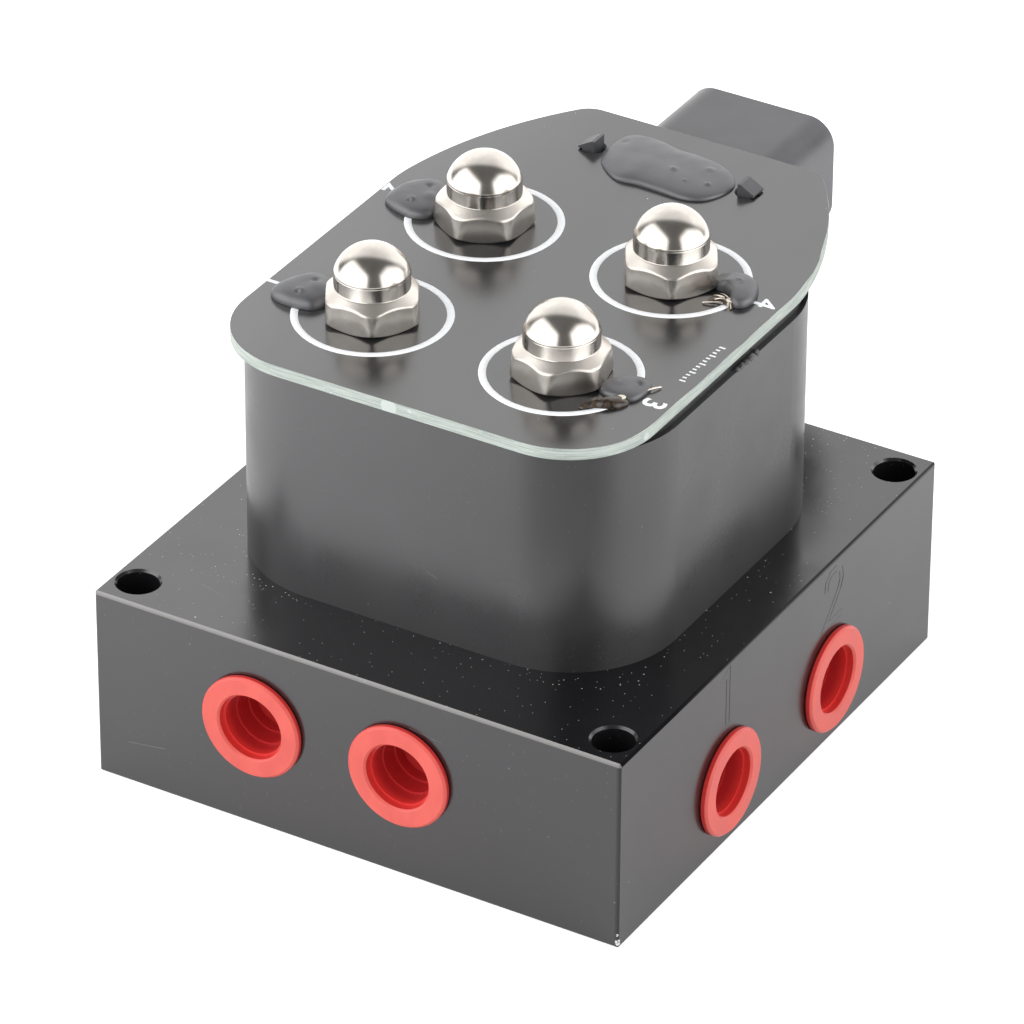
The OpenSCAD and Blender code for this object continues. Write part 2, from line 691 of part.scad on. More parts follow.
// Right-angle pins: through the web into the shroud, and up through the board
module connector_pins() {
    tip_y = web_y1 + pin_l;
    color([0.80, 0.78, 0.72]) for (t = TAILS) {
        z = conn_z + (t[2] - 0.5) * pin_rows;
        translate([t[0] - pin_w / 2, t[1] - pin_w / 2, z - pin_w / 2])
            cube([pin_w, tip_y - t[1] + pin_w / 2, pin_w]);
        translate([t[0] - pin_w / 2, t[1] - pin_w / 2, z - pin_w / 2])
            cube([pin_w, pin_w, board_top + terminal_proud - z + pin_w / 2]);
    }
}

// Peg through the board, with a barb on its +X side that snaps over the hole's rim
module board_peg() {
    near = -peg_t / 2;
    far = peg_t / 2;
    barb_z = board_t + barb_lift;
    top = board_t + peg_proud;
    translate([0, peg_w / 2, board_z]) rotate([90, 0, 0]) linear_extrude(peg_w)
        polygon([[near, -eps], [far, -eps], [far, barb_z], [far + peg_barb, barb_z],
            [far + peg_barb, barb_z + barb_tip], [near + peg_t / 4, top], [near, top]]);
}

module connector_shell() {
    hollow_w = conn_w - 2 * conn_wall;
    hollow_h = conn_h - 2 * conn_wall;
    pocket_d = web_y0 - conn_y0 - tail_wall;
    color([0.06, 0.06, 0.07]) difference() {
        union() {
            translate([0, conn_y0, conn_z]) rotate([-90, 0, 0])
                rounded_prism(conn_w, conn_h, conn_r, conn_l);
            for (s = [-1, 1]) {
                translate([s * peg_x - ear_d / 2, peg_y - ear_d / 2, board_z - ear_h])
                    cube([ear_d, ear_d, ear_h]);
                translate([s * peg_x, peg_y, 0]) rotate([0, 0, s > 0 ? 0 : 180]) board_peg();
            }
        }
        translate([0, web_y1, conn_z]) rotate([-90, 0, 0])
            rounded_prism(hollow_w, hollow_h, conn_r - conn_wall, conn_hollow + 1);
        translate([-hollow_w / 2 + 1, conn_y0 + tail_wall, conn_z - hollow_h / 2])
            cube([hollow_w - 2, pocket_d, conn_h]);
        for (t = TAILS) {
            w = pin_w + 2 * fit_gap;
            z = conn_z + (t[2] - 0.5) * pin_rows;
            translate([t[0] - w / 2, web_y0 - 1, z - w / 2]) cube([w, conn_web + 2, w]);
        }
    }
}

module connector_epoxy() {
    x1 = 1.5 * pin_pitch;
    color([0.02, 0.02, 0.02]) translate([0, 0, board_top]) difference() {
        hull() for (sx = [-1, 1], y = [tail_y, tail_y + tail_pitch])
            translate([sx * x1, y, 0]) low_dome(patch_margin, patch_h);
        for (t = TAILS) translate([t[0], t[1], -1])
            cylinder(r = pin_w * 0.71 + fit_gap, h = terminal_proud + 1 + fit_gap, $fn = 24);
    }
}

// Hollow push-in plug in port i: flange outside, stepped cup inside
module port_plug(i) {
    shank_r = port_d / 2 - fit_gap;
    cup_r = plug_cup_d / 2;
    flange_r = plug_flange_d / 2;
    top = plug_flange_t + rest_gap;
    step_r = plug_step / 2;
    step_z = [for (share = [0.16, 0.48, 0.8]) top - plug_cup_depth * share];
    color([0.85, 0.12, 0.11]) at_port(i) rotate_extrude() polygon([[0, -plug_shank_l],
        [shank_r - 0.6, -plug_shank_l], [shank_r, 0.6 - plug_shank_l], [shank_r, rest_gap],
        [flange_r - 0.2, rest_gap], [flange_r, rest_gap + 0.2], [flange_r, top - 0.35],
        [flange_r - 0.35, top], [cup_r + 0.3, top], [cup_r, top - 0.3],
        [cup_r, step_z[0]], [cup_r - step_r, step_z[0]], [cup_r - step_r, step_z[1]],
        [cup_r - 2 * step_r, step_z[1]], [cup_r - 2 * step_r, step_z[2]],
        [cup_r - 3 * step_r, step_z[2]], [cup_r - 3 * step_r, top - plug_cup_depth],
        [0, top - plug_cup_depth]]);
}

manifold_block();
coil_housing();
foot_seal();
rim_seal();
connection_board();
cap_nuts();
flange_seals();
flux_washers();
coil_terminals();
epoxy_dabs();
connector_shell();
connector_pins();
connector_epoxy();
for (i = [0 : 3]) port_plug(i);
for (i = [0 : 3]) guide_tube(i);
for (i = [0 : 3]) fixed_core(i);
for (i = [0 : 3]) plunger(i);
for (i = [0 : 3]) plunger_disc(i);
for (i = [0 : 3]) return_spring(i);
for (i = [0 : 3]) bobbin(i);
for (i = [0 : 3]) winding(i);
for (i = [0 : 3]) yoke(i);
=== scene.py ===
"""Looks of the solenoid valve block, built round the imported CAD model.

Lengths are in millimetres here, and turn into metres where a mesh, material, light or camera is made.
"""

import math

import bmesh
import bpy
import numpy as np
from mathutils import Matrix, Vector, noise


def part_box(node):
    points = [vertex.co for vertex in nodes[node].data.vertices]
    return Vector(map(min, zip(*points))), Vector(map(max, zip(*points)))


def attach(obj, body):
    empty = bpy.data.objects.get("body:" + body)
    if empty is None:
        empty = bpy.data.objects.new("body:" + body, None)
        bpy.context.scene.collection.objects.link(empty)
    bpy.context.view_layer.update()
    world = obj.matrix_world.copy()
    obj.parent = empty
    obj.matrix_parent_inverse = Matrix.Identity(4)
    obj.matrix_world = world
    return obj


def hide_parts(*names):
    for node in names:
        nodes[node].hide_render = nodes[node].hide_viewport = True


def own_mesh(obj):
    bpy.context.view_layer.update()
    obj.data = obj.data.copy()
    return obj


MM = 0.001
BODY = "valve_body"
VALVES = ("feed_1", "vent_1", "feed_2", "vent_2")

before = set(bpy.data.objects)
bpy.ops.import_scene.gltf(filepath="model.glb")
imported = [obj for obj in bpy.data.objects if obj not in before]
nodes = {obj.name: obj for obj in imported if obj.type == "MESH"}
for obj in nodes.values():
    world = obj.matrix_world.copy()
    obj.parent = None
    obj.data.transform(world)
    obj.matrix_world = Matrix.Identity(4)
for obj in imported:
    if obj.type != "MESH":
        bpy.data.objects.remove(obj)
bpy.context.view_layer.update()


# Places read from the CAD model, in millimetres


def corners(node):
    low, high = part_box(node)
    return low / MM, high / MM


def middle(node):
    low, high = corners(node)
    return (low + high) / 2


BLOCK_LOW, BLOCK_HIGH = corners("manifold_block")
HOUSING_LOW, HOUSING_HIGH = corners("coil_housing")
BOARD_LOW, BOARD_HIGH = corners("connection_board")
BOARD_TOP = BOARD_HIGH.z
NUT_TOP = corners("cap_nuts")[1].z
VALVE_XY = [tuple(middle(name + "_fixed_core").xy) for name in VALVES]

# Heights above the board at which a cap nut's hexagon and its collar end
NUT_HEX = 4.8
NUT_COLLAR_TOP = 7.1


# Shader nodes


class Graph:
    """The nodes of a material or world, with short calls for the ones used most."""

    def __init__(self, owner):
        owner.use_nodes = True
        self.tree = owner.node_tree
        self.tree.nodes.clear()

    def add(self, kind, inputs=None, **settings):
        made = self.tree.nodes.new(kind)
        for key, value in settings.items():
            setattr(made, key, value)
        for key, value in (inputs or {}).items():
            self.put(made.inputs[key], value)
        return made

    def put(self, target, value):
        if isinstance(value, bpy.types.NodeSocket):
            self.tree.links.new(value, target)
        else:
            target.default_value = value

    def math(self, operation, a, b=0.0, c=0.0):
        made = self.add("ShaderNodeMath", operation=operation)
        for socket, value in zip(made.inputs, (a, b, c)):
            self.put(socket, value)
        return made.outputs[0]

    def most(self, first, *others):
        for other in others:
            first = self.math("MAXIMUM", first, other)
        return first

    def vector(self, operation, a, b=(0, 0, 0)):
        made = self.add("ShaderNodeVectorMath", {0: a, 1: b}, operation=operation)
        return made.outputs["Value" if operation in ("LENGTH", "DOT_PRODUCT", "DISTANCE") else "Vector"]

    def parts(self, vector):
        """The outputs X, Y and Z of a vector."""
        return self.add("ShaderNodeSeparateXYZ", {"Vector": vector}).outputs

    def range(self, value, a0, a1, b0=0.0, b1=1.0):
        """From b0 to b1 as the value goes from a0 to a1, with soft ends."""
        made = self.add("ShaderNodeMapRange", interpolation_type="SMOOTHSTEP")
        for socket, given in zip(made.inputs, (value, a0, a1, b0, b1)):
            self.put(socket, given)
        return made.outputs[0]

    def mirrored(self, path):
        """1 for what is seen in or through another surface."""
        return self.math("MAXIMUM", path["Is Glossy Ray"], path["Is Transmission Ray"])


class Surface(Graph):
    """A new material and its nodes, in the object's own coordinates."""

    def __init__(self, name):
        self.material = bpy.data.materials.new(name)
        super().__init__(self.material)
        self.output = self.add("ShaderNodeOutputMaterial")
        self.shader = self.add("ShaderNodeBsdfPrincipled")
        self.put(self.output.inputs["Surface"], self.shader.outputs["BSDF"])
        self.place = self.add("ShaderNodeTexCoord").outputs["Object"]
        self.facing = self.add("ShaderNodeTexCoord").outputs["Normal"]

    def set(self, **values):
        """Sets sockets of the main shader, with _ for a space in the name."""
        for key, value in values.items():
            self.put(self.shader.inputs[key.replace("_", " ")], value)

    def mix(self, share, a, b):
        """A colour between a and b."""
        return self.add("ShaderNodeMix", {0: share, 6: a, 7: b}, data_type="RGBA").outputs[2]

    def noise(self, size, detail=4.0, stretch=None):
        """Noise whose main features are size millimetres across."""
        where = self.vector("MULTIPLY", self.place, stretch) if stretch else self.place
        made = self.add(
            "ShaderNodeTexNoise",
            {"Vector": where, "Scale": 1 / (size * MM), "Detail": detail, "Roughness": 0.55},
        )
        return made.outputs["Fac"]

    def specks(self, cell, radius, share):
        """1 inside round specks in a share of the cells, which are cell millimetres wide."""
        cells = self.add("ShaderNodeTexVoronoi", {"Vector": self.place, "Scale": 1 / (cell * MM)})
        near = self.range(cells.outputs["Distance"], radius / cell, 0.6 * radius / cell)
        pick = self.add("ShaderNodeSeparateColor", {"Color": cells.outputs["Color"]})
        return self.math("MULTIPLY", near, self.math("LESS_THAN", pick.outputs["Red"], share))

    def line(self, p, q, width):
        """1 along a scratch from p to q, width wide, in millimetres of the CAD frame."""
        start = Vector(p) * MM
        run = Vector(q) * MM - start
        offset = self.vector("SUBTRACT", self.place, tuple(start))
        along = self.math("DIVIDE", self.vector("DOT_PRODUCT", offset, tuple(run)), run.length_squared)
        along = self.math("MINIMUM", self.math("MAXIMUM", along, 0.0), 1.0)
        foot = self.add("ShaderNodeVectorMath", {0: tuple(run), "Scale": along}, operation="SCALE")
        apart = self.vector("DISTANCE", offset, foot.outputs["Vector"])
        return self.range(apart, width * MM / 2, width * MM / 4)

    def spot(self, centre, radius, soft):
        """1 inside a ball, fading to 0 at its radius, in millimetres of the CAD frame."""
        apart = self.vector("DISTANCE", self.place, tuple(Vector(centre) * MM))
        return self.range(apart, radius * MM, radius * MM * (1 - soft))

    def bump(self, height, depth, normal=None):
        """A normal for heights from 0 to 1 that stand depth millimetres tall."""
        made = self.add("ShaderNodeBump", {"Height": height, "Strength": 1.0, "Distance": depth * MM})
        if normal:
            self.put(made.inputs["Normal"], normal)
        return made.outputs["Normal"]

    def upward(self):
        """1 on faces that look up, 0 on walls and undersides."""
        return self.range(self.parts(self.facing)["Z"], 0.5, 0.9)


def grey(value, blue=1.0):
    return (value, value, value * blue, 1.0)


DUST = (0.55, 0.54, 0.52, 1.0)
BARE_METAL = (0.75, 0.75, 0.74, 1.0)
# Colour of the painted highlight on the block's front chamfer
CHAMFER_PAINTED_HIGHLIGHT = (0.155, 0.150, 0.144, 1.0)
# How far the chamfer's painted highlight in front and its duller gloss at the right reach down the block's
# walls
CHAMFER = 0.64

# Scratches: start, end and width. Spots of bare metal: centre, radius and softness
BLOCK_SCRATCHES = (
    ((20.0, 38.5, 30.0), (27.5, 31.5, 30.0), 0.09),
    ((-30.0, -36.0, 30.0), (-25.5, -37.2, 30.0), 0.07),
    ((-37.0, -45.0, 6.5), (-31.0, -45.0, 7.4), 0.07),
    ((9.0, -45.0, 24.6), (14.0, -45.0, 23.9), 0.06),
)
HOUSING_SCRATCHES = (
    ((-24.6, -29.8, 43.0), (-22.2, -30.6, 40.2), 0.10),
    ((3.5, -31.35, 40.6), (5.2, -31.35, 39.9), 0.09),
)
BARE_SPOTS = (
    ((BLOCK_HIGH.x, BLOCK_LOW.y, 0.9), 0.6, 0.3),
    ((BLOCK_HIGH.x - 0.2, BLOCK_LOW.y, 2.1), 0.25, 0.4),
)

# Gloss at the left and right end of the front and top, then at the near and far end of the right side
BLOCK_GLOSS = (1.05, 0.82, 0.77, 1.17)
HOUSING_GLOSS = (1.22, 0.84, 0.85, 0.87)


def gloss_level(g, place, face, gloss):
    """Specular level that changes along the front and top, and along the right side."""
    left, right, near, far = (value / 2 for value in gloss)
    along = g.range(place["X"], BLOCK_LOW.x * MM, BLOCK_HIGH.x * MM, left, right)
    deep = g.range(place["Y"], BLOCK_LOW.y * MM, BLOCK_HIGH.y * MM, near, far)
    on_side = g.math("GREATER_THAN", face["X"], 0.6)
    return g.math("MULTIPLY_ADD", on_side, g.math("SUBTRACT", deep, along), along)


def block_marks(g, place, face, colour, glance, dust):
    """Adds a bare corner, dust by the housing's foot, a painted highlight on the front chamfer, and duller
    gloss on the right chamfer and at the front's right end.
    """
    bare = g.most(*[g.spot(*spot) for spot in BARE_SPOTS])
    ragged = g.math("MULTIPLY", bare, g.range(g.noise(0.35, 3.0), 0.42, 0.55))
    colour = g.mix(ragged, colour, BARE_METAL)
    beside = g.math("SUBTRACT", g.math("ABSOLUTE", place["X"]), HOUSING_HIGH.x * MM)
    before = g.math("SUBTRACT", HOUSING_LOW.y * MM, place["Y"])
    by_foot = g.range(g.math("MAXIMUM", beside, before), 3.0 * MM, 0.6 * MM)
    gathered = g.math("MULTIPLY", g.specks(0.8, 0.12, 0.45), g.math("MULTIPLY", by_foot, g.upward()))
    dust = g.most(dust, gathered)
    # The chamfer round the top gets a painted highlight in front, and a duller gloss at the right
    band = g.range(place["Z"], (BLOCK_HIGH.z - CHAMFER) * MM, (BLOCK_HIGH.z - CHAMFER + 0.12) * MM)
    band = g.math("MULTIPLY", band, g.math("LESS_THAN", face["Z"], 0.9))
    on_front = g.math("LESS_THAN", face["Y"], -0.5)
    front = g.math("MULTIPLY", band, g.math("LESS_THAN", place["Y"], (BLOCK_LOW.y + 0.4) * MM))
    colour = g.mix(g.math("MULTIPLY", front, on_front), colour, CHAMFER_PAINTED_HIGHLIGHT)
    side = g.math("MULTIPLY", band, g.math("GREATER_THAN", place["X"], (BLOCK_HIGH.x - 0.4) * MM))
    side = g.math("MULTIPLY", side, g.math("GREATER_THAN", face["X"], 0.5))
    glance = g.math("MULTIPLY_ADD", side, -0.4, glance)
    # The front darkens where it rounds off to the right side
    rounding = g.range(place["X"], (BLOCK_HIGH.x - 0.8) * MM, (BLOCK_HIGH.x - 0.3) * MM)
    glance = g.math("MULTIPLY_ADD", g.math("MULTIPLY", rounding, on_front), -0.16, glance)
    return colour, glance, dust


def housing_marks(g, place, face, colour, glance, dust):
    """Adds painted light near the housing's foot, and weakens the housing's image in the block's top."""
    # Painted light: the housing grows lighter towards its foot
    colour = g.mix(g.range(place["Z"], 55 * MM, 36 * MM, 0.0, 0.022), colour, grey(0.6))
    # Walls polarise what they mirror, so the top reflects little of it
    weaker = g.range(face["X"], 0.2, 0.9, -0.17, -0.36)
    seen_again = g.add("ShaderNodeLightPath").outputs["Is Glossy Ray"]
    return colour, g.math("MULTIPLY_ADD", seen_again, weaker, glance), dust


def anodised(name, add_marks, scratches, gloss, rough, dusty):
    """Black anodised aluminium with a satin grain, dust, scratches and a part's own marks."""
    g = Surface(name)
    place = g.parts(g.place)
    face = g.parts(g.facing)
    grain = g.noise(0.12, 3.0)
    drawn = g.noise(0.5, 3.0, stretch=(1.0, 1.0, 0.04))
    roughness = g.range(g.noise(9.0, 3.0), 0.3, 0.7, rough - 0.04, rough + 0.05)
    roughness = g.math("MULTIPLY_ADD", g.math("SUBTRACT", drawn, 0.5), 0.03, roughness)
    dust = g.most(g.specks(0.9, 0.08, 0.5 * dusty), g.specks(3.4, 0.17, 0.36 * dusty))
    dust = g.math("MULTIPLY", dust, g.math("MULTIPLY_ADD", g.upward(), 0.8, 0.2))
    marks = g.most(*[g.line(*scratch) for scratch in scratches])
    colour = g.mix(g.noise(30.0, 2.0), grey(0.005, 1.15), grey(0.010, 1.12))
    colour = g.mix(g.math("MULTIPLY", marks, 0.55), colour, grey(0.22))
    glance = gloss_level(g, place, face, gloss)
    colour, glance, dust = add_marks(g, place, face, colour, glance, dust)
    colour = g.mix(g.math("MULTIPLY", dust, 0.9), colour, DUST)
    normal = g.bump(g.math("SUBTRACT", 1.0, marks), 0.01, g.bump(grain, 0.0022))
    g.set(Base_Color=colour, Roughness=roughness, IOR=1.93, Specular_IOR_Level=glance, Normal=normal)
    g.put(g.shader.inputs["Specular Tint"], (0.985, 0.98, 1.0, 1.0))
    return g.material


# Centre and radius of the lighter patches on the board's edge
BREAK_MARKS = (
    ((-1.2, BOARD_LOW.y, BOARD_TOP - 0.9), 1.3),
    ((2.1, BOARD_LOW.y, BOARD_TOP - 0.6), 0.35),
    ((BOARD_HIGH.x, -22.0, BOARD_TOP - 1.0), 0.6),
)


def board_material():
    """Glossy black solder mask above and below, pale glass-fibre laminate on the cut edge."""
    g = Surface("board")
    face = g.range(g.math("ABSOLUTE", g.parts(g.facing)["Z"]), 0.5, 0.8)
    smear = g.noise(6.0, 4.0, stretch=(1.0, 0.35, 1.0))
    dust = g.most(g.specks(2.0, 0.08, 0.26), g.specks(6.0, 0.16, 0.26))
    # Painted light: the mask is lighter towards the left half
    left_painted_light = g.range(g.parts(g.place)["X"], -8 * MM, -34 * MM)
    mask = g.mix(left_painted_light, grey(0.015, 1.04), grey(0.058, 1.03))
    mask = g.mix(dust, mask, DUST)
    layers = g.noise(0.22, 3.0, stretch=(0.04, 0.04, 1.0))
    fibres = g.noise(0.35, 4.0)
    laminate = g.mix(g.range(layers, 0.35, 0.65), (0.26, 0.305, 0.275, 1.0), (0.42, 0.465, 0.43, 1.0))
    laminate = g.mix(g.range(fibres, 0.62, 0.75), laminate, (0.55, 0.585, 0.55, 1.0))
    # Lighter patches where the board was broken off its panel
    for centre, width in BREAK_MARKS:
        laminate = g.mix(g.spot(centre, width, 0.15), laminate, (0.47, 0.52, 0.49, 1.0))
    colour = g.mix(face, laminate, mask)
    gloss = g.range(smear, 0.35, 0.75, 0.19, 0.25)
    rough = g.math("ADD", g.math("MULTIPLY", face, g.math("SUBTRACT", gloss, 0.62)), 0.62)
    normal = g.bump(g.noise(1.6, 2.0), 0.0035)
    normal = g.bump(g.math("MULTIPLY", fibres, g.math("SUBTRACT", 1.0, face)), 0.05, normal)
    g.set(Base_Color=colour, Roughness=rough, IOR=2.0, Normal=normal)
    return g.material


def silk_material():
    """White printing ink, a little patchy."""
    g = Surface("silkscreen")
    patchy = g.noise(0.5, 4.0)
    colour = g.mix(g.range(patchy, 0.35, 0.7), (0.90, 0.93, 0.96, 1.0), (0.97, 0.985, 1.0, 1.0))
    g.set(Base_Color=colour, Roughness=g.range(patchy, 0.3, 0.7, 0.35, 0.5), Normal=g.bump(patchy, 0.006))
    return g.material


def nickel_material():
    """Nickel plate: a satin dome, a collar with turned streaks, a matt bevel with a painted highlight and
    flats with a fine grain.
    """
    g = Surface("nickel_plate")
    height = g.parts(g.place)["Z"]
    slope = g.parts(g.facing)["Z"]
    collar_top = BOARD_TOP + NUT_COLLAR_TOP
    hex_top = BOARD_TOP + NUT_HEX
    dome = g.range(height, (collar_top - 0.2) * MM, (collar_top + 0.3) * MM)
    hexagon = g.range(height, (hex_top + 0.15) * MM, hex_top * MM)
    bevel = g.math("MULTIPLY", hexagon, g.range(slope, 0.55, 0.75))
    streaks = g.noise(0.20, 3.0, stretch=(1.0, 1.0, 0.05))
    grain = g.noise(0.10, 4.0)
    mottled = g.noise(0.5, 4.0, stretch=(1.0, 1.0, 0.7))
    blotch = g.noise(2.4, 3.0)
    pits = g.specks(0.8, 0.055, 0.22)
    colour = g.mix(g.range(blotch, 0.3, 0.75), (0.62, 0.575, 0.525, 1.0), (0.71, 0.67, 0.62, 1.0))
    rough = g.range(dome, 0.0, 1.0, 0.13, 0.185)
    rough = g.math("MULTIPLY_ADD", hexagon, 0.18, rough)
    # Painted highlight: the bevel is lighter than the rest of the plate
    colour = g.mix(bevel, colour, (0.80, 0.75, 0.69, 1.0))
    rough = g.math("MULTIPLY_ADD", bevel, 0.07, rough)
    rough = g.math("MULTIPLY_ADD", g.math("SUBTRACT", grain, 0.5), 0.10, rough)
    normal = g.bump(g.math("MULTIPLY", mottled, hexagon), 0.018)
    normal = g.bump(g.math("MULTIPLY", g.noise(0.16, 3.0), dome), 0.0055, normal)
    normal = g.bump(g.math("MULTIPLY", streaks, g.math("SUBTRACT", 1.0, dome)), 0.006, normal)
    normal = g.bump(g.math("SUBTRACT", 1.0, pits), 0.01, normal)
    normal = g.bump(grain, 0.0012, normal)
    g.set(Base_Color=colour, Metallic=1.0, Roughness=rough, Normal=normal)
    return g.material


def metal(name, light, dark, rough, size=0.4):
    """A machined or drawn metal in two close tones."""
    g = Surface(name)
    grain = g.noise(size, 4.0, stretch=(1.0, 1.0, 0.2))
    colour = g.mix(g.range(g.noise(size * 6, 3.0), 0.3, 0.7), dark, light)
    rough = g.range(grain, 0.3, 0.7, rough - 0.06, rough + 0.08)
    g.set(Base_Color=colour, Metallic=1.0, Roughness=rough, Normal=g.bump(grain, 0.004))
    return g.material


def epoxy_material():
    """Black potting epoxy: a satin skin with soft waves, pinholes and a little dust."""
    g = Surface("black_epoxy")
    pits = g.specks(1.5, 0.07, 0.12)
    colour = g.mix(g.noise(4.0, 3.0), grey(0.056, 1.12), grey(0.072, 1.10))
    colour = g.mix(g.specks(2.4, 0.05, 0.16), colour, DUST)
    rough = g.range(g.noise(3.0, 4.0), 0.35, 0.7, 0.40, 0.48)
    normal = g.bump(g.noise(3.0, 2.0), 0.02)
    normal = g.bump(g.math("SUBTRACT", 1.0, pits), 0.03, normal)
    normal = g.bump(g.noise(0.14, 3.0), 0.0012, normal)
    g.set(Base_Color=colour, Roughness=rough, IOR=1.95, Normal=normal)
    return g.material


# Painted shade in the plugs' cups, where little light gets back out: deeper reds, and where each starts and
# is full
CUP_PAINTED_SHADE = (((0.62, 0.034, 0.030, 1.0), -1.0, -0.65), ((0.46, 0.020, 0.022, 1.0), 0.3, 1.8))


def red_plastic_material():
    """Moulded red polyethylene, slightly translucent, with a fine matt skin and painted shade in its cups."""
    g = Surface("red_plastic")
    flow = g.noise(3.5, 3.0, stretch=(1.0, 1.0, 0.5))
    scuff = g.specks(1.7, 0.09, 0.10)
    colour = g.mix(g.range(flow, 0.3, 0.7), (0.60, 0.086, 0.070, 1.0), (0.66, 0.104, 0.082, 1.0))
    colour = g.mix(g.math("MULTIPLY", scuff, 0.4), colour, (0.95, 0.35, 0.30, 1.0))
    place = g.parts(g.place)
    # Painted shade: deeper reds inside each plug's cup
    for tone, start, end in CUP_PAINTED_SHADE:
        front = g.range(place["Y"], (BLOCK_LOW.y + start) * MM, (BLOCK_LOW.y + end) * MM)
        side = g.range(place["X"], (BLOCK_HIGH.x - start) * MM, (BLOCK_HIGH.x - end) * MM)
        colour = g.mix(g.math("MULTIPLY", front, side), colour, tone)
    rough = g.range(flow, 0.3, 0.7, 0.34, 0.44)
    g.set(
        Base_Color=colour,
        Roughness=rough,
        IOR=1.52,
        Subsurface_Weight=0.12,
        Subsurface_Scale=0.0006,
        Normal=g.bump(g.noise(0.10, 3.0), 0.0025),
    )
    g.shader.inputs["Subsurface Radius"].default_value = (1.0, 0.25, 0.2)
    return g.material


def plastic(name, colour, rough, size=0.14, depth=0.004):
    """Moulded plastic or rubber with a fine texture."""
    g = Surface(name)
    cloud = g.noise(7.0, 3.0)
    dark = tuple(c * 0.8 for c in colour) + (1.0,)
    light = tuple(min(c * 1.2, 1.0) for c in colour) + (1.0,)
    tone = g.mix(g.range(cloud, 0.3, 0.7), dark, light)
    tone = g.mix(g.math("MULTIPLY", g.specks(2.2, 0.07, 0.2), 0.6), tone, DUST)
    g.set(
        Base_Color=tone,
        Roughness=g.range(cloud, 0.3, 0.7, rough - 0.05, rough + 0.05),
        IOR=1.6,
        Normal=g.bump(g.noise(size, 3.0), depth),
    )
    return g.material


WINDING_PITCH = 0.3


def winding_material():
    """Enamelled copper wire, seen as fine turns along the coil's axis."""
    g = Surface("copper_wire")
    turns = g.math("SINE", g.math("MULTIPLY", g.parts(g.place)["Z"], 2 * math.pi / (WINDING_PITCH * MM)))
    colour = g.mix(g.noise(2.0, 3.0), (0.55, 0.20, 0.06, 1.0), (0.80, 0.36, 0.14, 1.0))
    g.set(Base_Color=colour, Metallic=1.0, Roughness=0.3, Normal=g.bump(turns, 0.05))
    return g.material


def flux_material():
    """Brown soldering flux, burnt in places."""
    g = Surface("flux_residue")
    burnt = g.noise(0.7, 4.0)
    colour = g.mix(g.range(burnt, 0.4, 0.62), (0.060, 0.040, 0.024, 1.0), (0.012, 0.011, 0.010, 1.0))
    g.set(Base_Color=colour, Roughness=0.16, IOR=1.6, Normal=g.bump(burnt, 0.05))
    return g.material


ANODISED_BLOCK = anodised("anodised_block", block_marks, BLOCK_SCRATCHES, BLOCK_GLOSS, 0.21, 1.0)
ANODISED_HOUSING = anodised("anodised_housing", housing_marks, HOUSING_SCRATCHES, HOUSING_GLOSS, 0.30, 0.8)
BOARD = board_material()
SILK = silk_material()
NICKEL = nickel_material()
EPOXY = epoxy_material()
FLUX = flux_material()
RED = red_plastic_material()
NYLON = plastic("black_nylon", (0.066, 0.066, 0.072), 0.34)
SEALANT = plastic("black_sealant", (0.030, 0.030, 0.031), 0.34, 0.5, 0.03)
RUBBER = plastic("black_rubber", (0.018, 0.018, 0.018), 0.6)
BROWN_RUBBER = plastic("brown_rubber", (0.14, 0.07, 0.035), 0.6)
BOBBIN = plastic("grey_nylon", (0.10, 0.10, 0.11), 0.45)
STAINLESS = metal("stainless_steel", (0.60, 0.60, 0.61, 1.0), (0.48, 0.48, 0.49, 1.0), 0.28)
PLATED = metal("plated_steel", (0.52, 0.53, 0.55, 1.0), (0.38, 0.39, 0.41, 1.0), 0.36)
BRASS = metal("tinned_brass", (0.72, 0.68, 0.58, 1.0), (0.55, 0.50, 0.40, 1.0), 0.25, 0.2)
TINNED_COPPER = metal("tinned_copper", (0.90, 0.83, 0.77, 1.0), (0.72, 0.60, 0.52, 1.0), 0.2, 0.2)
WINDING = winding_material()
LAMINATE = plastic("board_laminate", (0.52, 0.56, 0.52), 0.5)

FINISH_OF = {
    "manifold_block": ANODISED_BLOCK,
    "coil_housing": ANODISED_HOUSING,
    "foot_seal": RUBBER,
    "rim_seal": SEALANT,
    "connection_board": BOARD,
    "cap_nuts": NICKEL,
    "flange_seals": RUBBER,
    "flux_washers": PLATED,
    "coil_terminals": BRASS,
    "epoxy_dabs": EPOXY,
    "connector_epoxy": EPOXY,
    "connector_shell": NYLON,
    "connector_pins": BRASS,
    "guide_tube": STAINLESS,
    "fixed_core": STAINLESS,
    "plunger": STAINLESS,
    "plunger_disc": BROWN_RUBBER,
    "return_spring": STAINLESS,
    "bobbin": BOBBIN,
    "winding": WINDING,
    "yoke": PLATED,
}


def finish_of(node):
    """The finish for a CAD node: its own, its kind's after the valve's name, or a plug's."""
    for valve in VALVES:
        node = node.removeprefix(valve + "_")
    return RED if node.endswith("_plug") else FINISH_OF[node]


def dress_cad_nodes():
    for name, piece in nodes.items():
        piece.data.materials.clear()
        piece.data.materials.append(finish_of(name))


# Meshes


def new_object(name, data):
    made = bpy.data.objects.new(name, data)
    bpy.context.scene.collection.objects.link(made)
    return made


def make_piece(name, points, faces, material, smooth=True):
    """A mesh piece from points in millimetres, riding on the valve body."""
    mesh = bpy.data.meshes.new(name)
    mesh.from_pydata([tuple(float(c) * MM for c in p) for p in points], [], faces)
    mesh.validate()
    mesh.polygons.foreach_set("use_smooth", [smooth] * len(mesh.polygons))
    mesh.materials.append(material)
    mesh.update()
    piece = new_object(name, mesh)
    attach(piece, BODY)
    return piece


def sharpen(piece, degrees):
    """Keeps edges sharper than the angle crisp, without a change of shape."""
    piece.data.set_sharp_from_angle(angle=math.radians(degrees))


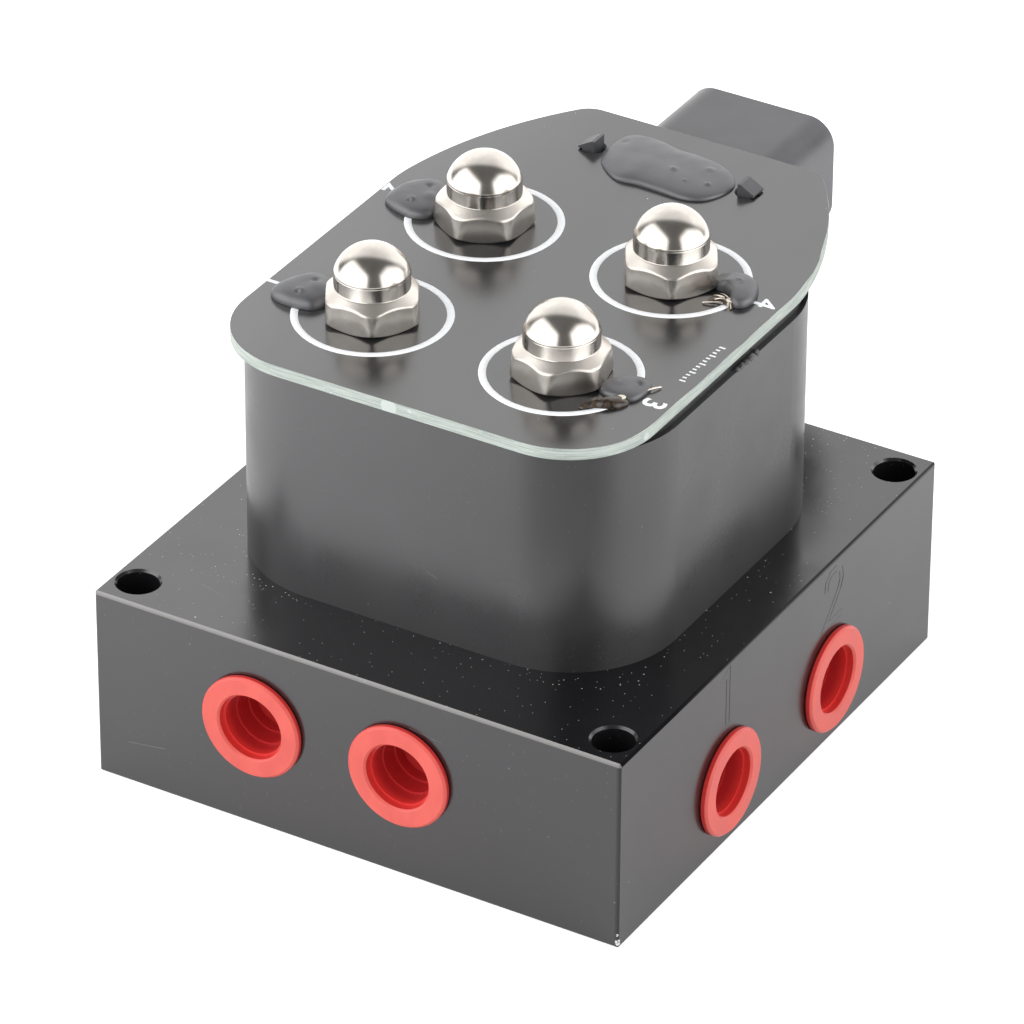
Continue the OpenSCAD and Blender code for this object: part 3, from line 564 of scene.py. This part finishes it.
def skin(rings, closed=True, first=None, last=None):
    """Points and faces of a surface through rings of equal length, with a point or a cap at each end."""
    count = len(rings[0])
    points = [p for ring in rings for p in ring]
    faces = []
    for j in range(len(rings) - 1):
        for i in range(count if closed else count - 1):
            a = j * count + i
            b = j * count + (i + 1) % count
            faces.append((a, b, b + count, a + count))
    for end, start in ((first, 0), (last, (len(rings) - 1) * count)):
        ring = list(range(start, start + count))
        flip = start == 0
        if end == "cap":
            faces.append(tuple(reversed(ring)) if flip else tuple(ring))
        elif end is not None:
            points.append(end)
            tip = len(points) - 1
            for i in range(count):
                pair = (ring[i], ring[(i + 1) % count])
                faces.append((pair[1], pair[0], tip) if flip else (*pair, tip))
    return points, faces


def circle(k, steps):
    """Cosine and sine of the k-th of some even steps round a circle."""
    turn = 2 * math.pi * k / steps
    return math.cos(turn), math.sin(turn)


def add_part(points, faces, part):
    """Adds one part's points and faces to those of a larger mesh."""
    more, quads = part
    faces.extend([tuple(i + len(points) for i in quad) for quad in quads])
    points.extend(more)


# Cap nuts: a hexagon milled from a turned blank, a collar and a domed cap, as one lofted surface each

NUT_FLATS = 12.8
NUT_FOOT = 0.02
NUT_FOOT_R = 6.3
NUT_WIDE_R = 7.24
NUT_RIM_R = 5.45
NUT_COLLAR_R = 5.35
NUT_DOME_R = 5.6
NUT_BORE_R = 4.05
NUT_BORE_DEPTH = 7.6
NUT_BORE_CHAMFER = 0.5
NUT_CORNER_R = 0.22
NUT_FILLET = 0.24
NUT_LOWER_BEVEL = math.tan(math.radians(30))
NUT_UPPER_BEVEL = math.tan(math.radians(40))
NUT_STEPS = 288
NUT_DOME_STEPS = 30
# Turn of each nut in degrees, in the order of VALVES
NUT_TURNS = (-60, -18, -32, -60)
# How far the collar's edges stand out or in, as (radius, height) from its foot and from its top
COLLAR_FOOT = ((0.07, 0.0), (0.02, 0.04), (0.0, 0.12))
COLLAR_TOP = ((0.0, -0.3), (-0.01, -0.2), (-0.04, -0.09))


def hexagon_reach(angle, flats, edge):
    """Distance from the axis to a hexagon with rounded corners; a corner lies at angle 0."""
    from_flat = (angle % 60) - 30
    inner = flats / 2 - edge
    if inner * math.tan(math.radians(30)) >= flats / 2 * abs(math.tan(math.radians(from_flat))):
        return flats / 2 / math.cos(math.radians(from_flat))
    arm = inner / math.cos(math.radians(30))
    off = math.radians(30 - abs(from_flat))
    return arm * math.cos(off) + math.sqrt(max(edge**2 - (arm * math.sin(off)) ** 2, 0.0))


def smooth_minimum(a, b, blend):
    """The smaller of two values, rounded where they are within blend of each other."""
    overlap = max(blend - abs(a - b), 0.0) / blend
    return min(a, b) - overlap**2 * blend / 4


def nut_radius(z, reach):
    """A nut's radius at a height on its hexagon, where the plain hexagon would reach that far."""
    lower_bevel = NUT_FOOT_R + z / NUT_LOWER_BEVEL
    taper = NUT_WIDE_R - 0.1 * z
    upper_bevel = NUT_RIM_R + (NUT_HEX - z) / NUT_UPPER_BEVEL
    blank = smooth_minimum(smooth_minimum(lower_bevel, taper, NUT_FILLET), upper_bevel, NUT_FILLET)
    return smooth_minimum(reach, blank, NUT_FILLET)


def nut_profile(angle):
    """(radius, height) points of a nut's section at one angle, from the bore's end to the dome's top."""
    reach = hexagon_reach(angle, NUT_FLATS, NUT_CORNER_R)
    made = [(NUT_BORE_R, NUT_BORE_DEPTH), (NUT_BORE_R, NUT_FOOT + NUT_BORE_CHAMFER)]
    made.append((NUT_BORE_R + NUT_BORE_CHAMFER, NUT_FOOT))
    heights = [*np.arange(NUT_FOOT, 0.9, 0.06), *np.arange(0.9, 3.0, 0.3), *np.arange(3.0, NUT_HEX, 0.05)]
    made += [(nut_radius(z, reach), z) for z in heights]
    made += [(NUT_COLLAR_R + out, NUT_HEX + rise) for out, rise in COLLAR_FOOT]
    made += [(NUT_COLLAR_R + out, NUT_COLLAR_TOP + rise) for out, rise in COLLAR_TOP]
    centre_z = NUT_TOP - BOARD_TOP - NUT_DOME_R
    first = math.asin((NUT_COLLAR_TOP - centre_z) / NUT_DOME_R)
    for k in range(NUT_DOME_STEPS):
        turn = first + (math.pi / 2 - first) * k / NUT_DOME_STEPS
        made.append((NUT_DOME_R * math.cos(turn), centre_z + NUT_DOME_R * math.sin(turn)))
    return made


def make_nuts():
    angles = [360 * k / NUT_STEPS for k in range(NUT_STEPS)]
    sections = [nut_profile(angle) for angle in angles]
    for index, (x, y) in enumerate(VALVE_XY):
        turns = [math.radians(angle + NUT_TURNS[index]) for angle in angles]
        rings = []
        for level in zip(*sections):
            around = [(r * math.cos(turn), r * math.sin(turn), z) for turn, (r, z) in zip(turns, level)]
            rings.append([(x + across, y + along, BOARD_TOP + z) for across, along, z in around])
        ceiling = (x, y, BOARD_TOP + NUT_BORE_DEPTH)
        points, faces = skin(rings, True, ceiling, (x, y, NUT_TOP))
        nut = make_piece(f"cap_nut_{index + 1}", points, faces, NICKEL)
        sharpen(nut, 50)
        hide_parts("cap_nuts")


# White printing on the board

SILK_H = 0.03
RING_OUT = 11.3
RING_LINE = 1.08
RING_WOBBLE = 0.02
RING_STEPS = 180
# A ring's section as (radius, height), with edges that slope in
RING_SECTION = (
    (RING_OUT - RING_LINE, 0.0),
    (RING_OUT - RING_LINE + SILK_H, SILK_H),
    (RING_OUT - SILK_H, SILK_H),
    (RING_OUT, 0.0),
)


def make_rings():
    for index, (x, y) in enumerate(VALVE_XY):
        rings = []
        for k in range(RING_STEPS):
            cos, sin = circle(k, RING_STEPS)
            wobble = RING_WOBBLE * noise.noise(Vector((cos * 9, sin * 9, index)))
            reaches = [(r + wobble, BOARD_TOP + z) for r, z in RING_SECTION]
            rings.append([(x + r * cos, y + r * sin, z) for r, z in reaches])
        rings.append(rings[0])
        points, faces = skin(rings)
        ring = make_piece(f"silk_ring_{index + 1}", points, faces, SILK)
        merge_close(ring)


def merge_close(piece):
    """Joins points that lie on each other, such as where a loft closes on itself."""
    bm = bmesh.new()
    bm.from_mesh(piece.data)
    bmesh.ops.remove_doubles(bm, verts=bm.verts, dist=1e-7)
    bmesh.ops.recalc_face_normals(bm, faces=bm.faces)
    bm.to_mesh(piece.data)
    bm.free()


# Plain numbers beside the four valves, each with its foot towards the board's left side
NUMBER_PLACES = (("1", -30.9, -14.4), ("3", 29.6, -15.7), ("2", -30.7, 16.4), ("4", 29.6, 15.3))
NUMBER_H = 3.3
NUMBER_FONT_SCALE = 1.43
NUMBER_BOLD = 0.09


def make_numbers():
    for text, x, y in NUMBER_PLACES:
        curve = bpy.data.curves.new("number", "FONT")
        curve.body = text
        curve.size = NUMBER_H * NUMBER_FONT_SCALE * MM
        curve.align_x = "CENTER"
        curve.align_y = "CENTER"
        curve.extrude = SILK_H * MM / 2
        curve.offset = NUMBER_BOLD * MM
        shape = new_object("number", curve)
        centre = Vector((x, y, BOARD_TOP + SILK_H / 2)) * MM
        shape.matrix_world = Matrix.Translation(centre) @ Matrix.Rotation(math.radians(-90), 4, "Z")
        bpy.context.view_layer.update()
        mesh = bpy.data.meshes.new_from_object(shape)
        mesh.transform(shape.matrix_world)
        mesh.materials.clear()
        mesh.materials.append(SILK)
        piece = new_object(f"silk_number_{text}", mesh)
        bpy.data.objects.remove(shape)
        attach(piece, BODY)


TICK_COUNT = 13
TICK_START = (29.6, -8.6)
TICK_STEP = (0.035, 0.86)
TICK_WIDTH = 0.3
TICK_LONG = 0.95
TICK_SHORT = 0.6
BOX_FACES = ((3, 2, 1, 0), (4, 5, 6, 7), (0, 1, 5, 4), (1, 2, 6, 5), (2, 3, 7, 6), (3, 0, 4, 7))


def make_ticks():
    """A row of small plain tick marks near the board's right edge, every third one longer."""
    points, faces = [], []
    for k in range(TICK_COUNT):
        x0, y0 = (start + k * step for start, step in zip(TICK_START, TICK_STEP))
        x1 = x0 + (TICK_SHORT if k % 3 else TICK_LONG)
        y1 = y0 + TICK_WIDTH
        foot = [(x0, y0), (x1, y0), (x1, y1), (x0, y1)]
        box = [(*corner, z) for z in (BOARD_TOP, BOARD_TOP + SILK_H) for corner in foot]
        add_part(points, faces, (box, BOX_FACES))
    make_piece("silk_ticks", points, faces, SILK, smooth=False)


# Plain port numbers on the right face: each stroke shows by the raised lips on its two sides

CUT_WIDTH = 0.95
CUT_LIP = 0.16
CUT_LIP_H = 0.05
# How far the lips' feet sink into the face
CUT_LIP_FOOT = 0.01
PORT_NUMBERS = {
    "port_number_1": [(-16.5, 27.3), (-15.4, 28.2), (-15.4, 19.8)],
    "port_number_2": [
        (12.7, 25.6), (12.9, 27.0), (14.0, 28.0), (15.6, 28.1), (16.9, 27.3), (17.2, 25.8), (16.6, 24.4),
        (14.6, 22.0), (12.6, 19.8), (17.6, 19.8),
    ],
}


def offset_line(points, distance):
    """An open line moved sideways, with mitred corners."""
    points = [Vector(p) for p in points]
    moved = []
    for k, point in enumerate(points):
        before = (point - points[k - 1]).normalized() if k else None
        after = (points[k + 1] - point).normalized() if k + 1 < len(points) else None
        ways = [w for w in (before, after) if w]
        sides = [Vector((-w.y, w.x)) for w in ways]
        side = sum(sides, Vector((0, 0))).normalized()
        moved.append(point + side * distance / max(side.dot(sides[0]), 0.4))
    return moved


def lip(line):
    """Points and faces of a low ridge along a line on the right face."""
    rings = []
    for share, rise in ((-0.5, -CUT_LIP_FOOT), (-0.2, CUT_LIP_H), (0.2, CUT_LIP_H), (0.5, -CUT_LIP_FOOT)):
        moved = offset_line(line, share * CUT_LIP)
        rings.append([(BLOCK_HIGH.x + rise, p.x, p.y) for p in moved])
    return skin(list(zip(*rings)), closed=True, first="cap", last="cap")


def make_port_numbers():
    for name, stroke in PORT_NUMBERS.items():
        points, faces = [], []
        for side in (-0.5, 0.5):
            add_part(points, faces, lip(offset_line(stroke, side * CUT_WIDTH)))
        make_piece(name, points, faces, ANODISED_BLOCK, smooth=False)


# Epoxy


def evenly(closed, count):
    """Evenly spaced points round a closed line."""
    closed = np.vstack([closed, closed[:1]])
    reach = np.concatenate([[0], np.cumsum(np.linalg.norm(np.diff(closed, axis=0), axis=1))])
    at = np.linspace(0, reach[-1], count, endpoint=False)
    return np.column_stack([np.interp(at, reach, closed[:, axis]) for axis in (0, 1)])


def smooth_loop(points, count):
    """Evenly spaced points on the smooth closed curve through a few given ones."""
    given = np.array(points, float)
    dense = []
    for k in range(len(given)):
        a, b, c, d = (given[(k + j) % len(given)] for j in (-1, 0, 1, 2))
        square = 2 * a - 5 * b + 4 * c - d
        cube = 3 * b - a - 3 * c + d
        for t in np.linspace(0, 1, 24, endpoint=False):
            dense.append(0.5 * (2 * b + (c - a) * t + square * t**2 + cube * t**3))
    return evenly(dense, count)


def make_blob(
    name, outline, height, seed, bumps=(), wave=0.06, full=2.7, count=150, levels=34, material=EPOXY
):
    """A drop on the board, flatter on top the fuller it is, with slow waves in its height.

    Each bump is (x, y, radius, rise), and a pit has a negative rise.
    """
    loop = smooth_loop(outline, count)
    centre = loop.mean(axis=0)

    def swell(x, y):
        return 1 + wave * noise.noise(Vector((x * 0.35, y * 0.35, seed * 7.3)))

    rings = []
    for level in range(levels):
        turn = math.pi / 2 * level / levels
        reach = math.cos(turn) ** (2 / full)
        rise = math.sin(turn) ** (2 / full)
        ring = []
        for x, y in centre + (loop - centre) * reach:
            z = height * rise * swell(x, y)
            for bx, by, radius, lift in bumps:
                apart = ((x - bx) ** 2 + (y - by) ** 2) / radius**2
                z += lift * math.exp(-(apart**1.3)) * min(1.0, rise * 1.5)
            ring.append((x, y, BOARD_TOP + max(z, 0.0)))
        rings.append(ring)
    points, faces = skin(rings, True, "cap", (*centre, BOARD_TOP + height * swell(*centre)))
    return make_piece(name, points, faces, material)


# Epoxy dabs over the coil terminals: outline, height and bumps
DABS = {
    "epoxy_dab_1": (
        [(-29.9, -17.4), (-28.6, -18.7), (-26.6, -19.2), (-24.2, -19.0), (-22.4, -18.3), (-21.5, -16.4),
         (-21.6, -13.6), (-22.6, -11.6), (-24.6, -10.7), (-26.8, -10.9), (-28.6, -12.7), (-29.6, -15.2)],
        2.1,
        [(-25.3, -17.2, 0.55, 0.22), (-25.4, -17.6, 0.35, -0.3), (-24.9, -13.9, 0.5, -0.28),
         (-23.9, -15.0, 1.2, 0.2)],
    ),
    "epoxy_dab_2": (
        [(27.6, -12.6), (27.7, -14.6), (27.4, -16.2), (26.6, -17.1), (25.2, -17.4), (23.1, -17.3),
         (21.6, -16.4), (21.4, -14.6), (22.4, -12.8), (24.0, -11.6), (25.6, -11.2), (26.9, -11.5)],
        1.2,
        [(24.0, -14.6, 0.9, 0.2), (25.8, -12.5, 0.8, 0.15), (26.4, -13.6, 0.35, -0.3)],
    ),
    "epoxy_dab_3": (
        [(-29.9, 12.7), (-28.4, 11.4), (-26.4, 10.6), (-24.4, 10.3), (-22.4, 11.0), (-21.6, 12.8),
         (-21.8, 15.8), (-22.8, 18.6), (-24.8, 20.3), (-26.9, 20.1), (-28.7, 18.5), (-29.8, 15.8)],
        2.0,
        [(-25.5, 12.6, 0.5, 0.3), (-25.6, 12.2, 0.3, -0.25), (-25.2, 17.0, 0.55, -0.3),
         (-23.6, 14.6, 1.0, 0.2)],
    ),
    "epoxy_dab_4": (
        [(28.3, 14.2), (27.9, 12.7), (26.9, 12.0), (25.9, 12.4), (24.8, 13.9), (23.4, 14.9), (22.0, 15.2),
         (20.9, 16.4), (21.1, 18.3), (23.0, 19.4), (25.0, 19.5), (26.9, 18.4), (27.9, 16.4)],
        1.9,
        [(25.1, 16.2, 0.6, 0.25), (25.0, 16.0, 0.3, -0.3), (21.9, 17.0, 1.2, -0.5)],
    ),
}
# The long patch over the connector's pins
PATCH_OUTLINE = [
    (-8.3, 36.7), (-10.0, 39.0), (-10.5, 41.9), (-10.1, 45.8), (-8.3, 47.1), (-5.2, 47.2), (-1.2, 46.2),
    (2.4, 46.2), (6.2, 45.4), (9.1, 43.6), (10.4, 41.0), (9.9, 38.0), (8.2, 35.5), (5.4, 34.5), (1.2, 34.7),
    (-2.0, 34.8), (-5.1, 34.6),
]
PATCH_BUMPS = [
    (1.6, 39.4, 0.5, 0.24), (7.6, 38.6, 0.4, 0.24), (6.0, 42.2, 0.6, 0.16), (4.4, 37.6, 0.25, 0.14),
    (-8.6, 43.4, 0.6, -0.12),
]
# Flux that ran out of two dabs: outline and height
FLUX_RUNS = {
    "flux_run_2": (
        [(21.5, -21.4), (22.3, -20.6), (23.3, -19.8), (23.9, -18.6), (24.6, -17.3), (25.4, -16.6),
         (26.5, -16.6), (27.0, -17.6), (26.7, -18.6), (25.8, -19.7), (24.6, -20.3), (23.3, -20.9),
         (22.5, -21.8), (21.8, -22.0)],
        0.95,
    ),
    "flux_run_4": (
        [(22.6, 11.6), (24.2, 12.2), (25.6, 12.0), (26.4, 12.6), (25.6, 13.8), (24.0, 14.4), (22.8, 13.4)],
        0.5,
    ),
}


def make_epoxy():
    for seed, (name, (outline, height, bumps)) in enumerate(DABS.items()):
        dab = make_blob(name, outline, height, seed, bumps)
        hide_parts("epoxy_dabs")
    patch = make_blob("epoxy_patch", PATCH_OUTLINE, 1.55, 5, PATCH_BUMPS, full=2.4, count=260, levels=60)
    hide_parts("connector_epoxy")
    for seed, (name, (outline, height)) in enumerate(FLUX_RUNS.items(), 11):
        make_blob(name, outline, height, seed, wave=0.35, full=2.2, material=FLUX)


# Loose strands of wire at two terminals: start, what it bends towards, and end
STRANDS = [
    [(25.2, 12.2, 0.9), (24.2, 12.6, 0.7), (23.4, 12.3, 0.25)],
    [(25.8, 12.5, 0.7), (24.6, 13.4, 0.9), (23.5, 14.0, 0.35)],
    [(24.9, 12.0, 0.3), (23.6, 11.4, 0.5), (22.3, 10.9, 0.2)],
    [(25.9, 12.4, 0.8), (26.2, 11.9, 0.5), (26.5, 11.5, 0.1)],
    [(24.6, 13.0, 0.6), (23.8, 12.9, 0.8), (22.9, 13.2, 0.3)],
    [(27.5, -13.6, 0.35), (28.1, -12.8, 0.5), (28.6, -11.7, 0.2)],
]
STRAND_R = 0.14
WIRE_SIDES = 10


def tube(points, radius):
    """Points and faces of a round wire along a line of points."""
    turns = [circle(j, WIRE_SIDES) for j in range(WIRE_SIDES)]
    rings = []
    for k, point in enumerate(points):
        ahead = (points[min(k + 1, len(points) - 1)] - points[max(k - 1, 0)]).normalized()
        across = ahead.cross(Vector((0, 0, 1))).normalized()
        above = across.cross(ahead)
        rings.append([tuple(point + (across * cos + above * sin) * radius) for cos, sin in turns])
    return skin(rings, True, "cap", "cap")


def make_strands():
    points, faces = [], []
    for strand in STRANDS:
        a, b, c = (Vector((x, y, BOARD_TOP + z)) for x, y, z in strand)
        bend = [a.lerp(b, t).lerp(b.lerp(c, t), t) for t in np.linspace(0, 1, 9)]
        add_part(points, faces, tube(bend, STRAND_R))
    wires = make_piece("loose_strands", points, faces, TINNED_COPPER)
    sharpen(wires, 60)


# Return springs of round wire with closed end turns

SPRING_WIRE = 0.6
SPRING_TURNS = 7
SPRING_END_PITCH = 0.63
SPRING_STEPS = 30


def spring_rise(turns, length):
    """Height of the wire's middle along a spring, after some turns from its lower end."""
    if turns < 1:
        return SPRING_END_PITCH * turns
    if turns > SPRING_TURNS - 1:
        return length - SPRING_END_PITCH * (SPRING_TURNS - turns)
    return SPRING_END_PITCH + (length - 2 * SPRING_END_PITCH) * (turns - 1) / (SPRING_TURNS - 2)


def make_springs():
    for valve in VALVES:
        node = valve + "_return_spring"
        low, high = corners(node)
        x, y = middle(node).xy
        mean_r = (high.x - low.x - SPRING_WIRE) / 2
        height = high.z - low.z
        wire = []
        for k in range(SPRING_TURNS * SPRING_STEPS + 1):
            cos, sin = circle(k, SPRING_STEPS)
            z = low.z + SPRING_WIRE / 2 + spring_rise(k / SPRING_STEPS, height - SPRING_WIRE)
            wire.append(Vector((x + mean_r * cos, y + mean_r * sin, z)))
        points, faces = tube(wire, SPRING_WIRE / 2)
        spring = make_piece(valve + "_spring_wire", points, faces, STAINLESS)
        sharpen(spring, 60)
        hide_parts(node)
        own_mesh(spring)


# Lumps of sealant squeezed out over the housing's rim at the right: y, and width along the rim
SEALANT_LUMPS = ((1.9, 1.0), (3.1, 1.8), (4.3, 1.2), (5.6, 2.0), (7.3, 1.1))
LUMP_R = 0.42
LUMP_ROUGH = 0.45
LUMP_SIDES = 14
LUMP_LEVELS = 9
# Middle of the lumps, inward of the housing's side and below its rim, and their ends seen from the rim
LUMP_IN = 0.28
LUMP_DOWN = 0.05
LUMP_ENDS = (-0.42, 0.36)


def make_sealant():
    """Rough lumps along the housing's upper right edge, each a ball pulled out of shape."""
    points, faces = [], []
    x0 = HOUSING_HIGH.x - LUMP_IN
    z0 = HOUSING_HIGH.z - LUMP_DOWN
    for index, (y0, width) in enumerate(SEALANT_LUMPS):
        rings = []
        for level in range(1, LUMP_LEVELS):
            tilt = math.pi * level / LUMP_LEVELS - math.pi / 2
            ring = []
            for step in range(LUMP_SIDES):
                cos, sin = circle(step, LUMP_SIDES)
                way = Vector((cos * math.cos(tilt), sin * math.cos(tilt), math.sin(tilt)))
                out = way * (1 + LUMP_ROUGH * noise.noise(way * 1.7 + Vector((index * 5.1, 0, 0))))
                ring.append((x0 + out.x * LUMP_R, y0 + out.y * width / 2, z0 + out.z * LUMP_R))
            rings.append(ring)
        ends = [(x0, y0, HOUSING_HIGH.z + z) for z in LUMP_ENDS]
        add_part(points, faces, skin(rings, True, *ends))
    make_piece("sealant_lumps", points, faces, SEALANT)


# A pale thread at the right, where the black mask stops short of the board's cut edge
RIM_WIDTH = 0.2
RIM_INSET = 0.015
RIM_HEIGHT = BOARD_TOP + 0.006
RIM_POINTS = 900
# Where the thread fades in, from left to right
RIM_FADE = (22.0, 28.0)


def half_hull(run):
    """One side of the outline round sorted points, without its last point."""
    made = []
    for p in run:
        while len(made) > 1 and (made[-1] - made[-2]).cross(p - made[-2]) <= 0:
            made.pop()
        made.append(p)
    return made[:-1]


def hull(points):
    """Corners of the smallest convex outline round some points, counter-clockwise."""
    points = [Vector(p) for p in sorted(set(points))]
    return half_hull(points) + half_hull(points[::-1])


def make_board_rim():
    board = nodes["connection_board"]
    tops = [board.matrix_world @ v.co / MM for v in board.data.vertices]
    outline = hull([(round(p.x, 4), round(p.y, 4)) for p in tops if p.z > BOARD_TOP - 0.05])
    loop = evenly([tuple(p) for p in outline], RIM_POINTS)
    start, end = RIM_FADE
    inner, outer = [], []
    for k in range(RIM_POINTS):
        here, before, after = (Vector(loop[(k + j) % RIM_POINTS]) for j in (0, -2, 2))
        inward = (after - before).normalized().orthogonal()
        share = max(0.0, noise.noise(Vector((here.x * 0.16, here.y * 0.16, 3.0))) + 0.2)
        at_right = min(max((here.x - start) / (end - start), 0.0), 1.0)
        width = 0.01 + RIM_WIDTH * min(share * 1.6, 1.0) * at_right
        outer.append((*(here + inward * RIM_INSET), RIM_HEIGHT))
        inner.append((*(here + inward * (RIM_INSET + width)), RIM_HEIGHT))
    points, faces = skin([outer, inner])
    make_piece("board_rim_line", points, faces, LAMINATE, smooth=False)


# Camera, floor and light

CAMERA_AZIMUTH = 30.4633
CAMERA_ELEVATION = 32.0615
CAMERA_ROLL = 0.2734
CAMERA_DISTANCE = 1011.7
CAMERA_TARGET = (0.118, -2.738, 33.67)
CAMERA_LENS = 254.35


def direction(azimuth, elevation):
    """Unit vector towards an azimuth, 0 in front of the block and 90 to its right, and an elevation."""
    a, e = math.radians(azimuth), math.radians(elevation)
    return Vector((math.sin(a) * math.cos(e), -math.cos(a) * math.cos(e), math.sin(e)))


def make_camera():
    data = bpy.data.cameras.new("camera")
    data.sensor_width = 36.0
    data.lens = CAMERA_LENS
    data.clip_start = 0.05
    data.clip_end = 20.0
    back = direction(CAMERA_AZIMUTH, CAMERA_ELEVATION)
    right = Vector((0, 0, 1)).cross(back).normalized()
    up = back.cross(right)
    roll = math.radians(CAMERA_ROLL)
    x_axis = right * math.cos(roll) + up * math.sin(roll)
    y_axis = up * math.cos(roll) - right * math.sin(roll)
    place = Vector(CAMERA_TARGET) * MM + back * CAMERA_DISTANCE * MM
    camera = new_object("camera", data)
    camera.matrix_world = Matrix.Translation(place) @ Matrix((x_axis, y_axis, back)).transposed().to_4x4()
    bpy.context.scene.camera = camera


# The floor's glow close to the part, for the camera and for reflections, and the radii where it turns white
FLOOR_GLOW_SEEN = 0.60
FLOOR_GLOW_REFLECTED = 0.22
FLOOR_GLOW_REACH = (60.0, 320.0)
FLOOR_SHADE = 0.45
SHADE_REACH = (92.0, 128.0)
FLOOR_HALF = 6000.0
FLOOR_Z = -0.05


def make_floor():
    ends = [(x * FLOOR_HALF, y * FLOOR_HALF, FLOOR_Z) for x, y in ((-1, -1), (1, -1), (1, 1), (-1, 1))]
    mesh = bpy.data.meshes.new("floor")
    mesh.from_pydata([tuple(c * MM for c in p) for p in ends], [], [(0, 1, 2, 3)])
    floor = new_object("floor", mesh)
    g = Surface("white_floor")
    near, far = (reach * MM for reach in FLOOR_GLOW_REACH)
    shade_near, shade_far = (reach * MM for reach in SHADE_REACH)
    path = g.add("ShaderNodeLightPath").outputs
    apart = g.vector("LENGTH", g.place)
    seen = g.math("MULTIPLY", g.range(apart, near, far, FLOOR_GLOW_SEEN, 1.0), path["Is Camera Ray"])
    # The floor in front of the camera lies in the shade of the photo tent's opening
    toward = g.vector("DOT_PRODUCT", g.vector("NORMALIZE", g.place), tuple(direction(CAMERA_AZIMUTH, 0)))
    shade = g.math("MULTIPLY", g.range(toward, 0.72, 0.96), g.range(apart, shade_near, shade_far))
    shade = g.math("MULTIPLY_ADD", shade, FLOOR_SHADE - 1, 1.0)
    reflected = g.math("MULTIPLY", g.range(apart, near, far, FLOOR_GLOW_REFLECTED, 1.0), shade)
    mirrored = g.mirrored(path)
    darker = g.math("MULTIPLY", mirrored, g.math("SUBTRACT", 1.0, shade))
    g.set(Base_Color=g.mix(darker, grey(0.82), grey(0.0)), Roughness=0.9, IOR=1.3)
    strength = g.math("MULTIPLY_ADD", reflected, mirrored, seen)
    glow = g.add("ShaderNodeEmission", {"Color": grey(1.0), "Strength": strength})
    both = g.add("ShaderNodeAddShader", {0: g.shader.outputs["BSDF"], 1: glow.outputs["Emission"]})
    g.put(g.output.inputs["Surface"], both.outputs[0])
    mesh.materials.append(g.material)


# Radiance of the sky: as light, and as seen in reflections behind the part, overhead and on the camera's side
SKY_LIGHT = 0.75
SKY_BEHIND = 1.55
SKY_OVERHEAD = 0.95
SKY_DARK = 0.15
BEHIND_AZIMUTH = 205
# The soft boxes as seen in reflections: azimuth, tangents of the left and right edge and of the top, and how
# far the top drops to the right
MIRRORED_BOXES = ((-36, -1.05, 1.3, 1.36, 0.0), (103, -0.94, 0.78, 1.15, 1.0))
# Radiance of the soft boxes, as light and as seen in reflections
BOX_RADIANCE = 2.2


def make_world():
    """White behind and overhead, and dark on the camera's side, as in a small photo tent."""
    world = bpy.data.worlds.new("studio")
    bpy.context.scene.world = world
    g = Graph(world)
    toward = g.add("ShaderNodeTexCoord").outputs["Generated"]
    height = g.parts(toward)["Z"]

    def reach(azimuth):
        return g.vector("DOT_PRODUCT", toward, tuple(direction(azimuth, 0)))

    edge = g.math("MULTIPLY_ADD", height, -0.475, 0.67)
    white = g.range(height, 0.45, 0.95, SKY_BEHIND, SKY_OVERHEAD)
    paper = g.range(g.math("SUBTRACT", reach(BEHIND_AZIMUTH), edge), -0.14, 0.08, SKY_DARK, white)
    for azimuth, left, right, top, slope in MIRRORED_BOXES:
        ahead = reach(azimuth)
        depth = g.math("MAXIMUM", ahead, 0.05)
        side = g.math("DIVIDE", reach(azimuth + 90), depth)
        above = g.math("DIVIDE", height, depth)
        lean = g.math("MULTIPLY_ADD", g.math("MAXIMUM", side, 0.0), slope, above)
        inside = g.range(side, left - 0.2, left + 0.2)
        inside = g.math("MULTIPLY", inside, g.range(side, right + 0.15, right - 0.15))
        inside = g.math("MULTIPLY", inside, g.range(lean, top + 0.35, top - 0.35))
        inside = g.math("MULTIPLY", inside, g.range(ahead, 0.0, 0.1))
        paper = g.math("MAXIMUM", paper, g.math("MULTIPLY", inside, BOX_RADIANCE))
    path = g.add("ShaderNodeLightPath").outputs
    strength = g.math("MULTIPLY_ADD", g.mirrored(path), g.math("SUBTRACT", paper, SKY_LIGHT), SKY_LIGHT)
    strength = g.math("MAXIMUM", strength, path["Is Camera Ray"])
    background = g.add("ShaderNodeBackground", {"Color": grey(1.0), "Strength": strength})
    g.add("ShaderNodeOutputWorld", {"Surface": background.outputs[0]})


# Each soft box: azimuth, elevation and distance of its centre from the part's, and its width and height
SOFT_BOXES = {
    "soft_box_left": (-37, 20, 620, 1300, 560),
    "soft_box_right": (98, 20, 620, 860, 430),
}
PART_CENTRE = Vector((0, 0, 60))


def make_lights():
    for name, (azimuth, elevation, distance, width, height) in SOFT_BOXES.items():
        data = bpy.data.lights.new(name, "AREA")
        data.shape = "RECTANGLE"
        data.size = width * MM
        data.size_y = height * MM
        data.energy = BOX_RADIANCE * math.pi * data.size * data.size_y
        lamp = new_object(name, data)
        toward = direction(azimuth, elevation)
        lamp.location = PART_CENTRE * MM + toward * distance * MM
        lamp.rotation_mode = "QUATERNION"
        lamp.rotation_quaternion = toward.to_track_quat("Z", "Y")
        lamp.visible_glossy = False


make_camera()
make_floor()
make_world()
make_lights()
dress_cad_nodes()
make_nuts()
make_rings()
make_numbers()
make_ticks()
make_port_numbers()
make_epoxy()
make_strands()
make_springs()
make_sealant()
make_board_rim()
bpy.context.scene.view_settings.view_transform = "Standard"
